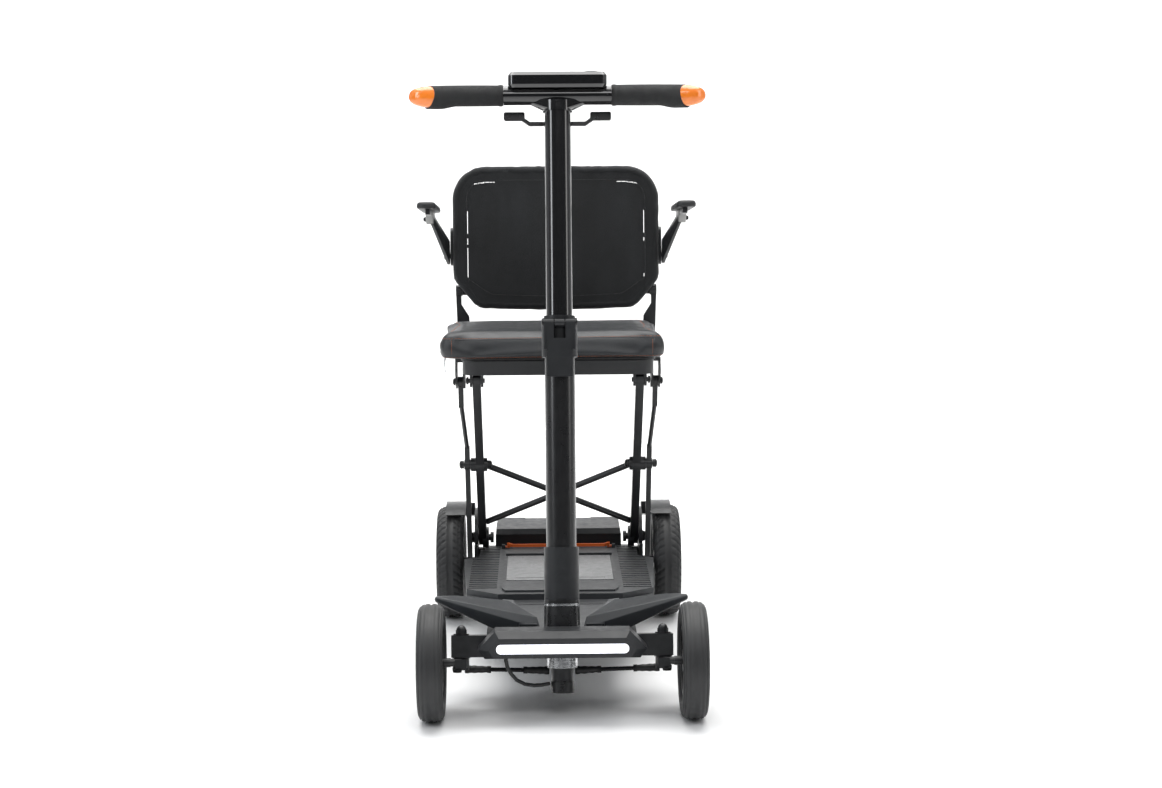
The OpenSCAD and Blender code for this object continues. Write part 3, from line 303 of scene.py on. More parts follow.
SLOTS = {
    "frame_paint": "rear_fenders chassis_frame front_beam axle_housing rear_brackets leg_bolts "
                   "steering_column knuckle_left knuckle_right leg_frame seat_struts seat_frame "
                   "back_frame armrest_left armrest_right",
    "tube_gloss": "upper_tube",
    "lower_lacquer": "lower_tube",
    "dark_plastic": "bumper_cover motor_cover motor_cover_lid clamp_collar lock_sleeve cam_lever speed_dial",
    "satin_trim": "head_collar column_cap throttle_lever",
    "deck_plastic": "deck_shell",
    "hatch_plastic": "deck_hatch",
    "wing_plastic": "front_wings",
    "cap_plastic": "horn_button",
    "gloss_trim": "handlebar console_case",
    "orange_plastic": "release_handle power_button",
    "rim_plastic": "front_rim_left front_rim_right rear_rim_left rear_rim_right",
    "steel": "bearing_ring fold_ring ignition_key",
    "cast_alloy": "drive_motor controller",
    "battery_case": "battery_pack",
    "cable_rubber": "sensor_cable tie_rod_left tie_rod_right",
    "display_glass": "console_display",
    "lens_white": "headlight_lens",
    "pad_foam": "arm_pad_left arm_pad_right",
    "mesh_fabric": "back_mesh",
    "seat_leather": "seat_cushion",
    "tyre_rubber": "front_tyre_left front_tyre_right rear_tyre_left rear_tyre_right",
    "grip_rubber": "hand_grips",
    "orange_lens": "grip_lenses",
}
BEVEL = {"front_wings": 0.0022, "bumper_cover": 0.0018, "motor_cover": 0.002, "motor_cover_lid": 0.0022,
         "console_case": 0.0016, "deck_shell": 0.0007, "deck_hatch": 0.0006, "rear_fenders": 0.0008,
         "front_beam": 0.0012, "clamp_collar": 0.0008, "cam_lever": 0.0009, "lock_sleeve": 0.0008,
         "throttle_lever": 0.0014, "seat_frame": 0.0012, "leg_frame": 0.0014, "rear_brackets": 0.0008,
         "armrest_left": 0.0014, "armrest_right": 0.0014, "head_collar": 0.0012, "column_cap": 0.0016,
         "fold_ring": 0.0006, "front_rim_left": 0.0012, "front_rim_right": 0.0012, "rear_rim_left": 0.0012,
         "rear_rim_right": 0.0012, "speed_dial": 0.0008, "axle_housing": 0.0015, "leg_bolts": 0.001,
         "knuckle_left": 0.001, "knuckle_right": 0.001, "seat_struts": 0.0012, "drive_motor": 0.002}


def smooth(obj, angle=35.0):
    for poly in obj.data.polygons:
        poly.use_smooth = True
    only = {"selected_objects": [obj], "selected_editable_objects": [obj]}
    with bpy.context.temp_override(object=obj, active_object=obj, **only):
        bpy.ops.object.shade_auto_smooth(angle=math.radians(angle))


for slot_name, names in SLOTS.items():
    for name in names.split():
        obj = nodes[name]
        for s in obj.material_slots:
            s.material = M[slot_name]
        if name in BEVEL:
            mod = obj.modifiers.new("edges", "BEVEL")
            mod.width = BEVEL[name]
            mod.segments = 2
            mod.limit_method = "ANGLE"
            mod.angle_limit = math.radians(38)
            mod.use_clamp_overlap = True
            mod.harden_normals = False


# ------------------------------------------------------------------ mesh helpers
def make(name, verts, faces, mat, shade_smooth=True):
    me = bpy.data.meshes.new(name)
    me.from_pydata([tuple(v) for v in verts], [], faces)
    me.validate()
    me.update()
    obj = bpy.data.objects.new(name, me)
    scene.collection.objects.link(obj)
    me.materials.append(M[mat])
    bm = bmesh.new()
    bm.from_mesh(me)
    bmesh.ops.recalc_face_normals(bm, faces=bm.faces)
    bm.to_mesh(me)
    bm.free()
    for poly in me.polygons:
        poly.use_smooth = shade_smooth
    return obj


def loft(rings, caps=True, closed=False):
    """rings: lists of points, all of one length"""
    n = len(rings[0])
    verts = [p for r in rings for p in r]
    faces = []
    count = len(rings) if closed else len(rings) - 1
    for i in range(count):
        a, b = i * n, ((i + 1) % len(rings)) * n
        for k in range(n):
            k2 = (k + 1) % n
            faces.append((a + k, a + k2, b + k2, b + k))
    if caps and not closed:
        faces.append(tuple(range(n - 1, -1, -1)))
        faces.append(tuple((len(rings) - 1) * n + k for k in range(n)))
    return verts, faces


def sweep(points, radius, sides=14, closed=False, flat=1.0):
    """tube round a line of points; radius is a number or a function of the index"""
    pts = [Vector(p) for p in points]
    n = len(pts)
    rings = []
    up = Vector((0, 0, 1))
    prev = None
    for i, p in enumerate(pts):
        a = pts[(i - 1) % n] if closed or i > 0 else p
        b = pts[(i + 1) % n] if closed or i < n - 1 else p
        d = (b - a).normalized()
        if prev is None:
            u = d.cross(up)
            if u.length < 0.1:
                u = d.cross(Vector((0, 1, 0)))
        else:
            u = prev - d * prev.dot(d)
        u.normalize()
        prev = u
        w = d.cross(u)
        r = radius(i) if callable(radius) else radius
        turns = [2 * math.pi * k / sides for k in range(sides)]
        rings.append([p + u * (r * math.cos(a)) + w * (r * flat * math.sin(a)) for a in turns])
    return loft(rings, caps=not closed, closed=closed)


def lathe(profile, centre, axis, sides=48):
    """profile: (along, radius) pairs in metres, turned about axis through centre"""
    c, d = Vector(centre), Vector(axis).normalized()
    u = d.cross(Vector((0, 0, 1)))
    if u.length < 0.1:
        u = d.cross(Vector((0, 1, 0)))
    u.normalize()
    w = d.cross(u)
    turns = [2 * math.pi * k / sides for k in range(sides)]
    rings = [[c + d * s + (u * math.cos(a) + w * math.sin(a)) * max(r, 1e-5) for a in turns]
             for s, r in profile]
    return loft(rings)


def join(parts):
    verts, faces = [], []
    for v, f in parts:
        off = len(verts)
        verts += list(v)
        faces += [tuple(i + off for i in face) for face in f]
    return verts, faces


# ------------------------------------------------------------------ studio and camera
# bright above and behind, dim in front, so that glossy black stays black
WORLD_STOPS = [(0.2, (0.03, 0.031, 0.034)), (0.5, (0.16, 0.165, 0.175)), (0.66, (0.75, 0.765, 0.79)),
               (1.0, (0.98, 0.985, 1.0))]


def studio():
    me = bpy.data.meshes.new("floor")
    s = 14.0
    rows = [(-6.0, 0.0), (4.2, 0.0)]
    for i in range(13):
        a = math.pi / 2 * i / 12
        rows.append((4.2 + 0.9 * math.sin(a), 0.9 - 0.9 * math.cos(a)))
    rows.append((5.1, 9.0))
    verts, faces = [], []
    for y, z in rows:
        verts += [(-s, y, z), (s, y, z)]
    for i in range(len(rows) - 1):
        faces.append((2 * i, 2 * i + 1, 2 * i + 3, 2 * i + 2))
    me.from_pydata(verts, [], faces)
    floor = bpy.data.objects.new("floor", me)
    scene.collection.objects.link(floor)
    for poly in me.polygons:
        poly.use_smooth = True
    m, t, p = base("studio_paper")
    n = noise_tex(t, 0.7, 2.0)
    t.links.new(ramp(t, n, [(0.3, (0.885, 0.885, 0.88)), (0.7, (0.9, 0.9, 0.9))]), p.inputs["Base Color"])
    p.inputs["Roughness"].default_value = 0.75
    p.inputs["Specular IOR Level"].default_value = 0.15
    me.materials.append(m)
    world = bpy.data.worlds.new("studio")
    world.use_nodes = True
    t = world.node_tree
    tc = t.nodes.new("ShaderNodeTexCoord")
    sep = t.nodes.new("ShaderNodeSeparateXYZ")
    t.links.new(tc.outputs["Generated"], sep.inputs[0])
    above = math_node(t, "MULTIPLY", sep.outputs["Z"], 0.55)
    toward = math_node(t, "ADD", above, math_node(t, "MULTIPLY", sep.outputs["Y"], 0.45))
    level = ramp(t, math_node(t, "ADD", math_node(t, "MULTIPLY", toward, 0.5), 0.5), WORLD_STOPS)
    t.links.new(level, t.nodes["Background"].inputs[0])
    t.nodes["Background"].inputs[1].default_value = 0.95
    scene.world = world

    def area(name, place, target, size, power, tint=(1, 1, 1)):
        light = bpy.data.lights.new(name, "AREA")
        light.shape = "RECTANGLE"
        light.size, light.size_y = size
        light.energy = power
        light.color = tint
        ob = bpy.data.objects.new(name, light)
        ob.location = place
        ob.rotation_euler = (Vector(target) - Vector(place)).to_track_quat("-Z", "Y").to_euler()
        scene.collection.objects.link(ob)

    area("overhead", (0.0, 0.6, 3.4), (0, 0.2, 0), (3.6, 3.0), 150, (1, 0.995, 0.98))
    area("key_left", (-2.6, -1.4, 1.9), (0, 0, 0.5), (0.7, 2.2), 30, (0.93, 0.965, 1))
    area("fill_right", (2.8, -0.8, 1.6), (0, 0, 0.5), (0.7, 2.2), 12, (1, 0.99, 0.97))
    area("front", (0.5, -3.2, 3.0), (0, 0, 0.3), (2.6, 1.0), 30)
    area("backdrop", (0.0, 2.2, 3.2), (0, 5.0, 1.2), (6.0, 1.4), 150)


# camera fitted to the wheels and the symmetric pieces: lens in mm, angles in degrees, place in metres
LENS = 66.61
PITCH, ROLL, YAW = 7.569, 0.344, 1.035
CAMERA_AT = (-0.02714, -(3.204251 + ORIGIN_Y * MM), 0.928114)


def camera():
    cam = bpy.data.cameras.new("camera")
    cam.sensor_width = 36.0
    cam.lens = LENS
    cam.clip_end = 60.0
    ob = bpy.data.objects.new("camera", cam)
    pitch, roll, yaw = math.radians(PITCH), math.radians(ROLL), math.radians(YAW)
    right = Vector((math.cos(yaw), -math.sin(yaw), 0))
    ahead = Vector((math.sin(yaw), math.cos(yaw), 0))
    forward = ahead * math.cos(pitch) - Vector((0, 0, 1)) * math.sin(pitch)
    up = ahead * math.sin(pitch) + Vector((0, 0, 1)) * math.cos(pitch)
    r2 = right * math.cos(roll) - up * math.sin(roll)
    u2 = up * math.cos(roll) + right * math.sin(roll)
    rot = Matrix((r2, u2, -forward)).transposed()
    ob.matrix_world = Matrix.Translation(CAMERA_AT) @ rot.to_4x4()
    scene.collection.objects.link(ob)
    scene.camera = ob


studio()
camera()
scene.view_settings.view_transform = "Standard"

# ------------------------------------------------------------------ tyres
def side_frac(x, k):
    return x * k - math.floor(x * k)


def smooth_step(e0, e1, x):
    t = min(1.0, max(0.0, (x - e0) / (e1 - e0)))
    return t * t * (3 - 2 * t)


def rib_depth(_turn, across):
    """Front tread: straight ribs round the tyre."""
    d = abs(side_frac(across + 0.5, 6.0) - 0.5)
    return smooth_step(0.36, 0.46, d)


def chevron_depth(turn, across):
    """Rear tread: a centre groove, and slanted sipes on both sides."""
    side = abs(across)
    centre = 1 - smooth_step(0.012, 0.04, side)
    slant = abs(side_frac(turn * 46 + side * 2.6, 1.0) - 0.5)
    sipe = smooth_step(0.33, 0.42, slant) * smooth_step(0.07, 0.1, side) * (1 - smooth_step(0.44, 0.5, side))
    mid = abs(side - 0.27)
    ring = 1 - smooth_step(0.008, 0.022, mid)
    return max(centre, 0.85 * sipe, 0.6 * ring)


def tyre(name, node, rim_ratio, depth_of, groove, body, steps):
    lo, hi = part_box(node)
    c = Vector([(a + b) / 2 for a, b in zip(lo, hi)])
    radius, width = (hi[2] - lo[2]) / 2, hi[0] - lo[0]
    bead = radius * rim_ratio
    mid_r, half_h = (radius + bead) / 2, (radius - bead) / 2
    profile = []
    across_n = 64
    for i in range(across_n + 1):
        a = math.radians(-158 + 316 * i / across_n)
        sx = math.copysign(abs(math.sin(a)) ** 0.72, math.sin(a))
        cr = math.copysign(abs(math.cos(a)) ** 0.62, math.cos(a))
        profile.append((a, width / 2 * sx, mid_r + half_h * cr))
    rings = []
    for k in range(steps):
        turn = k / steps
        t = 2 * math.pi * turn
        ring = []
        for a, x, r in profile:
            across = a / math.radians(150)
            g = depth_of(turn, across / 0.86) * groove * (1 - smooth_step(0.42, 0.52, abs(across)))
            # a shallow band moulded round the side wall
            band = smooth_step(0.62, 0.64, abs(across)) * (1 - smooth_step(0.69, 0.71, abs(across)))
            ring.append(c + Vector((x * (1 - 0.02 * band), (r - g) * math.sin(t), (r - g) * math.cos(t))))
        rings.append(ring)
    n = len(rings[0])
    verts = [p for ring in rings for p in ring]
    faces = []
    for k in range(steps):
        a, b = k * n, ((k + 1) % steps) * n
        for i in range(n):
            j = (i + 1) % n
            faces.append((a + i, a + j, b + j, b + i))
    obj = make(name, verts, faces, "tyre_rubber")
    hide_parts(node)
    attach(obj, body)
    return obj


for s in ("left", "right"):
    tyre(f"tyre_front_{s}", f"front_tyre_{s}", 0.62, rib_depth, 0.0022, f"front_wheel_{s}", 128)
    tyre(f"tyre_rear_{s}", f"rear_tyre_{s}", 0.6, chevron_depth, 0.0024, f"rear_wheel_{s}", 368)


# ------------------------------------------------------------------ fasteners
def screw(name, centre, axis, r, h, body, mat="bolt_steel", hexed=True):
    """Button-head screw with a hexagonal socket, its base on centre."""
    c, d = Vector(centre), Vector(axis).normalized()
    prof = [(0.0, r), (h * 0.35, r), (h * 0.7, r * 0.86), (h * 0.93, r * 0.62), (h, r * 0.5)]
    verts, faces = lathe(prof, c, d, 30)
    faces.pop()
    if not hexed:
        verts, faces = lathe(prof + [(h * 1.02, r * 0.2)], c, d, 30)
        obj = make(name, verts, faces, mat)
        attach(obj, body)
        return obj
    u = d.cross(Vector((0, 0, 1)))
    if u.length < 0.1:
        u = d.cross(Vector((0, 1, 0)))
    u.normalize()
    w = d.cross(u)
    start = len(verts) - 30
    base_i = len(verts)
    hexr = r * 0.42
    ring1, ring2 = [], []
    for k in range(30):
        a = 2 * math.pi * k / 30
        sector = (a % (math.pi / 3)) - math.pi / 6
        rr = hexr * math.cos(math.pi / 6) / math.cos(sector)
        off = (u * math.cos(a) + w * math.sin(a)) * rr
        ring1.append(c + d * h + off)
        ring2.append(c + d * (h * 0.35) + off)
    verts = list(verts) + ring1 + ring2
    for k in range(30):
        k2 = (k + 1) % 30
        faces.append((start + k, start + k2, base_i + k2, base_i + k))
        faces.append((base_i + k, base_i + k2, base_i + 30 + k2, base_i + 30 + k))
    faces.append(tuple(base_i + 30 + k for k in range(29, -1, -1)))
    obj = make(name, verts, faces, mat)
    smooth(obj, 40)
    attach(obj, body)
    return obj


def world(x, y, z):
    """millimetres, y from the front axle, to the part's frame in metres"""
    return Vector((x * MM, (y - ORIGIN_Y) * MM, z * MM))


LEAN = math.radians(11)  # the steering column's lean back from upright


def column(x, y, s):
    """millimetres across and along the leaning column, to the part's frame in metres"""
    return world(x, y * math.cos(LEAN) + s * math.sin(LEAN), -y * math.sin(LEAN) + s * math.cos(LEAN))


COL = Vector((0, math.sin(LEAN), math.cos(LEAN)))
COL_Y = Vector((0, math.cos(LEAN), -math.sin(LEAN)))


# ------------------------------------------------------------------ handlebar grips and lenses
def grip(side):
    s = 1 if side == "right" else -1
    inner, outer, slope = 84.5, 201.5, 11.0
    c0 = column(0, 0, BAR_S)
    n = 40
    rings = []
    for i in range(61):
        t = i / 60
        x = inner + (outer - inner) * t
        ring = []
        for k in range(n):
            a = 2 * math.pi * k / n
            cy, cz = math.cos(a), math.sin(a)
            r = 15.2 + 0.5 * math.sin(math.pi * t) + 0.8 * smooth_step(0.0, 0.03, t)
            # under-bulge near the outer end
            belly = smooth_step(0.62, 0.84, t) * max(0.0, -cz) ** 1.3
            # raised collar at the inner end
            collar = 0.9 * (1 - smooth_step(0.045, 0.06, t))
            # thumb panel outline
            fx, fz = (x - 108) / 16.0, (cz * 15.0) / 11.5
            rim = abs(math.hypot(fx, fz) - 1.0) if cy < 0.3 else 1.0
            outline = 0.55 * (1 - smooth_step(0.03, 0.09, rim))
            rr = r + 4.2 * belly + collar - outline
            slant = slope * cy * t ** 8
            along = Vector((s * (x + slant) * MM, 0, 0))
            ring.append(c0 + along + COL_Y * (rr * cy * MM) + COL * (rr * cz * MM))
        rings.append(ring)
    verts, faces = loft(rings)
    obj = make(f"grip_{side}", verts, faces, "grip_rubber")
    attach(obj, "upper")
    # lens: a slanted dome on the grip's end
    rings = []
    for j in range(13):
        q = j / 12
        swell = math.sin(q * math.pi / 2)
        shrink = math.cos(q * math.pi / 2)
        ring = []
        for k in range(n):
            a = 2 * math.pi * k / n
            cy, cz = math.cos(a), math.sin(a)
            rr = (15.6 + 2.2 * max(0.0, -cz) ** 1.3) * max(shrink, 0.02) ** 0.6
            up = cz * rr + 1.5 * (1 - shrink)
            x = outer + slope * cy * rr / 15.0 + (228.6 - outer) * swell ** 1.4
            ring.append(c0 + Vector((s * x * MM, 0, 0)) + COL_Y * (rr * cy * MM) + COL * (up * MM))
        rings.append(ring)
    verts, faces = loft(rings)
    lens = make(f"lens_{side}", verts, faces, "orange_lens")
    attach(lens, "upper")
    return obj, lens


grips = [grip("left"), grip("right")]
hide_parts("hand_grips")
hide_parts("hand_grips")
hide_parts("grip_lenses")
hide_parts("grip_lenses")


# ------------------------------------------------------------------ tie rods
def tie_rod(side):
    s = 1 if side == "right" else -1
    a, b = Vector((8, 38, 71)), Vector((163, 38, 75))
    d = (b - a).normalized()
    length = (b - a).length

    def at(t):
        p = a + d * t
        return column(s * p.x, p.y, p.z)

    axis = (at(1) - at(0)).normalized()
    parts = []
    for t0, sign in ((9.0, 1), (length - 9.0, -1)):
        prof = []
        for i in range(29):
            q = i / 28
            wave = 0.5 * math.sin(q * math.pi * 2 * 3.0 - 0.5)
            r = 6.3 - 1.4 * q + wave * (0.8 - 0.5 * q)
            prof.append((sign * (3 + 34 * q) * MM, r * MM))
        prof += [(sign * 38 * MM, 5.4 * MM), (sign * 42 * MM, 5.4 * MM), (sign * 43 * MM, 3.6 * MM)]
        parts.append(lathe(prof, at(t0), axis, 28))
    verts, faces = join(parts)
    boots = make(f"tie_rod_boots_{side}", verts, faces, "cable_rubber")
    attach(boots, f"tie_rod_{side}")
    prof = []
    n = 150
    for i in range(n + 1):
        t = 44 + (length - 88) * i / n
        prof.append(((t - 44) * MM, (3.35 + 0.35 * math.sin(i * 2 * math.pi / 5)) * MM))
    verts, faces = lathe(prof, at(44), axis, 18)
    rod = make(f"tie_rod_thread_{side}", verts, faces, "bolt_steel")
    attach(rod, f"tie_rod_{side}")
    parts = []
    for t in (50.0, length - 50.0):
        parts.append(lathe([(-2.5 * MM, 5.6 * MM), (2.5 * MM, 5.6 * MM)], at(t), axis, 6))
    verts, faces = join(parts)
    nuts = make(f"tie_rod_nuts_{side}", verts, faces, "bolt_steel", False)
    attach(nuts, f"tie_rod_{side}")
    prof = [(h * MM, r * MM)
            for h, r in ((-6.0, 3.5), (-5.6, 6.4), (-2, 7.4), (2, 7.4), (4.0, 6.2), (4.9, 4.2))]
    parts = []
    for p in (a, b):
        c = column(s * p.x, p.y, p.z)
        parts.append(lathe(prof, c, COL, 32))
    verts, faces = join(parts)
    eyes = make(f"tie_rod_eyes_{side}", verts, faces, "bolt_steel")
    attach(eyes, f"tie_rod_{side}")
    for o in (boots, rod, eyes):
        smooth(o, 50)
        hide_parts(f"tie_rod_{side}")


for s in ("left", "right"):
    tie_rod(s)


# ------------------------------------------------------------------ armrest pads
BACK_LEAN = math.radians(5)
HINGE = (781.959, 594.0)


def on_back(x, y, z):
    return world(x, HINGE[0] + y * math.cos(BACK_LEAN) + z * math.sin(BACK_LEAN),
                 HINGE[1] - y * math.sin(BACK_LEAN) + z * math.cos(BACK_LEAN))


def rounded_ring(w, l, r, n=8):
    """points round a rounded rectangle, n + 1 at each corner"""
    pts = []
    x, y = w / 2 - r, l / 2 - r
    for cx, cy, a0 in ((x, y, 0), (-x, y, 90), (-x, -y, 180), (x, -y, 270)):
        for i in range(n + 1):
            a = math.radians(a0 + 90 * i / n)
            pts.append((cx + r * math.cos(a), cy + r * math.sin(a)))
    return pts


def spread(line, count):
    """count points spaced evenly along a closed line of points"""
    lengths = [0.0]
    for a, b in zip(line, line[1:]):
        lengths.append(lengths[-1] + (b - a).length)
    out, j = [], 0
    for i in range(count):
        d = lengths[-1] * i / count
        while j < len(lengths) - 2 and lengths[j + 1] < d:
            j += 1
        t = (d - lengths[j]) / max(1e-9, lengths[j + 1] - lengths[j])
        out.append(line[j].lerp(line[j + 1], t))
    return out


def arm_pad(side):
    s = 1 if side == "right" else -1
    rings = []
    # height and inset of each layer of the pad
    layers = [(142.2, 4.0), (142.6, 1.4), (144.0, 0.2), (148.0, 0.0), (151.0, 0.8), (152.8, 2.4),
              (153.7, 5.0), (153.95, 9.0)]
    for z, inset in layers:
        ring = []
        for px, py in rounded_ring(33 - 2 * inset, 212 - 2 * inset, max(2.0, 14 - inset)):
            ring.append(on_back(s * (227.5 + px), -140 + py, z))
        rings.append(ring)
    verts, faces = loft(rings)
    obj = make(f"armrest_pad_{side}", verts, faces, "pad_foam")
    smooth(obj, 60)
    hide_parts(f"arm_pad_{side}")
    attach(obj, f"arm_{side}")
    screw(f"armrest_bolt_{side}", on_back(s * 202, -6, 64), (s, 0, 0), 7.4 * MM, 5.5 * MM, "back")
    # pale clevis under the pad with its cross bolt
    rings = []
    for x in (220.0, 221.0, 233.0, 234.0):
        edge = 1.0 if x in (220.0, 234.0) else 0.0
        pts = [(-150 + edge, 141.8), (-100 - edge, 141.8), (-96 - edge, 138), (-104 - edge, 124 + edge),
               (-112, 119 + edge), (-121 + edge, 121 + edge), (-140 + edge, 136)]
        rings.append([on_back(s * x, y, z) for y, z in pts])
    verts, faces = loft(rings)
    clevis = make(f"armrest_clevis_{side}", verts, faces, "clevis_alloy", False)
    mod = clevis.modifiers.new("edges", "BEVEL")
    mod.width = 0.0008
    mod.segments = 2
    smooth(clevis, 35)
    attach(clevis, f"arm_{side}")
    screw(f"clevis_bolt_{side}", on_back(s * 234, -112, 128), (s, 0, 0), 4.2 * MM, 5.0 * MM, f"arm_{side}")


for s in ("left", "right"):
    arm_pad(s)


# ------------------------------------------------------------------ seat cushion
def grid_solid(name, size, centre, corner, edge):
    """Closed rounded block of fabric to inflate."""
    w, l, h = size
    rings = []
    layers = 6
    for j in range(layers + 1):
        t = j / layers
        ang = math.pi * (t - 0.5)
        inset = edge * (1 - math.cos(ang))
        z = -h / 2 + h * t
        flat = rounded_ring(w - 2 * inset, l - 2 * inset, max(0.004, corner - inset), 6)
        rings.append([Vector((px, py, z)) + centre for px, py in flat])
    verts, faces = loft(rings)
    return make(name, verts, faces, "seat_leather")


def apply_modifiers(obj):
    deps = bpy.context.evaluated_depsgraph_get()
    me = bpy.data.meshes.new_from_object(obj.evaluated_get(deps))
    old = obj.data
    obj.modifiers.clear()
    obj.data = me
    bpy.data.meshes.remove(old)


def inflate(obj, voxel, pressure, cap, pins=None, frames=20):
    """Cloth pass: the cover swells over its foam and is then frozen."""
    mod = obj.modifiers.new("remesh", "REMESH")
    mod.mode = "VOXEL"
    mod.voxel_size = voxel
    apply_modifiers(obj)
    rest = [v.co.copy() for v in obj.data.vertices]
    group = obj.vertex_groups.new(name="held")
    if pins:
        for v in obj.data.vertices:
            g = pins(v.co)
            if g > 0:
                group.add([v.index], g, "REPLACE")
    cloth = obj.modifiers.new("cloth", "CLOTH")
    st = cloth.settings
    st.quality = 5
    st.mass = 0.3
    st.tension_stiffness = 20
    st.compression_stiffness = 20
    st.shear_stiffness = 10
    st.bending_stiffness = 1.5
    st.use_pressure = True
    st.uniform_pressure_force = pressure
    st.effector_weights.gravity = 0.0
    if pins:
        st.vertex_group_mass = "held"
    cloth.collision_settings.use_collision = False
    cloth.point_cache.frame_start = 1
    cloth.point_cache.frame_end = frames
    for f in range(1, frames + 1):
        scene.frame_set(f)
    deps = bpy.context.evaluated_depsgraph_get()
    me = obj.evaluated_get(deps).data
    moved = [v.co.copy() for v in me.vertices]
    obj.modifiers.clear()
    obj.vertex_groups.clear()
    for v, a, b in zip(obj.data.vertices, rest, moved):
        d = b - a
        if d.length > cap:
            d *= cap / d.length
        v.co = a + d
    scene.frame_set(1)


c_lo, c_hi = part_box("seat_cushion")
C_MID = Vector(((c_lo[0] + c_hi[0]) / 2, (c_lo[1] + c_hi[1]) / 2, (c_lo[2] + c_hi[2]) / 2))
# the real cushion sits off centre, overhangs its block a little and slopes down behind
C_MID.x -= 0.010
C_MID.z -= 0.003
C_W, C_L, C_H = c_hi[0] - c_lo[0] + 0.006, c_hi[1] - c_lo[1], c_hi[2] - c_lo[2]
CORNER = 0.024
REAR_DROP = 0.012
THREAD = (0.0028, 0.0020, 0.00036)  # length, gap and radius of a seat stitch


def seat_cushion():
    body = grid_solid("seat_cushion_cover", (C_W - 0.006, C_L - 0.009, C_H - 0.006), C_MID, CORNER, 0.009)
    inflate(body, 0.006, 4.0, 0.009, pins=lambda p: 0.9 if p.z < C_MID.z - C_H * 0.36 else 0.0)
    top, bottom = C_MID.z + C_H / 2, C_MID.z - C_H / 2
    for v in body.data.vertices:
        p = v.co
        # foam crown, pulled in along the sewn edge of the top panel
        u = abs(p.x - C_MID.x) / (C_W / 2)
        q = abs(p.y - C_MID.y) / (C_L / 2)
        edge = max(u, q)
        z = min(max(p.z, bottom), top)
        if p.z > C_MID.z + 0.012:
            crown = 0.003 * (1 - edge ** 3) + 0.0012 * noise.noise(p * 14.0)
            z += crown - REAR_DROP * max(0.0, (p.y - c_lo[1]) / C_L)
        x = C_MID.x + max(-C_W / 2, min(C_W / 2, p.x - C_MID.x))
        y = C_MID.y + max(-C_L / 2, min(C_L / 2, p.y - C_MID.y))
        bulge = 0.0011 * noise.noise(Vector((p.x * 24, p.y * 24, p.z * 8)))
        v.co = Vector((x + bulge * (p.x - C_MID.x) * 3, y, z))
    smoother = body.modifiers.new("soften", "SMOOTH")
    smoother.factor = 0.5
    smoother.iterations = 6
    apply_modifiers(body)
    sub = body.modifiers.new("subdivision", "SUBSURF")
    sub.levels = 1
    sub.render_levels = 1
    for poly in body.data.polygons:
        poly.use_smooth = True
    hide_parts("seat_cushion")
    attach(body, "seat")
    return body


cushion = seat_cushion()


def surface_tree(obj):
    deps = bpy.context.evaluated_depsgraph_get()
    return BVHTree.FromObject(obj.evaluated_get(deps) if obj.modifiers else obj, deps)


def outline(w, l, r, count):
    """points round a rounded rectangle, evenly spaced"""
    raw = [Vector((x, y, 0)) for x, y in rounded_ring(w, l, r, 24)]
    return spread(raw + [raw[0].copy()], count)


def stitches(name, points, normals, length, gap, radius, body, mat="thread"):
    """Thread showing as short raised stitches along a line of surface points."""
    parts = []
    for i in range(len(points) - 1):
        a, b = points[i], points[i + 1]
        seg = (b - a).length
        if seg < 1e-6:
            continue
        d = (b - a) / seg
        pos = 0.0
        while pos + length <= seg + 1e-9 or (seg - pos > length * 0.6):
            p = a + d * pos
            q = p + d * length
            nrm = normals[i]
            mid = (p + q) / 2 + nrm * radius * 0.9
            parts.append(sweep([p - nrm * radius * 0.5, p.lerp(mid, 0.5) + nrm * radius * 0.2, mid,
                                q.lerp(mid, 0.5) + nrm * radius * 0.2, q - nrm * radius * 0.5], radius, 6))
            pos += length + gap
    verts, faces = join(parts)
    obj = make(name, verts, faces, mat)
    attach(obj, body)
    return obj


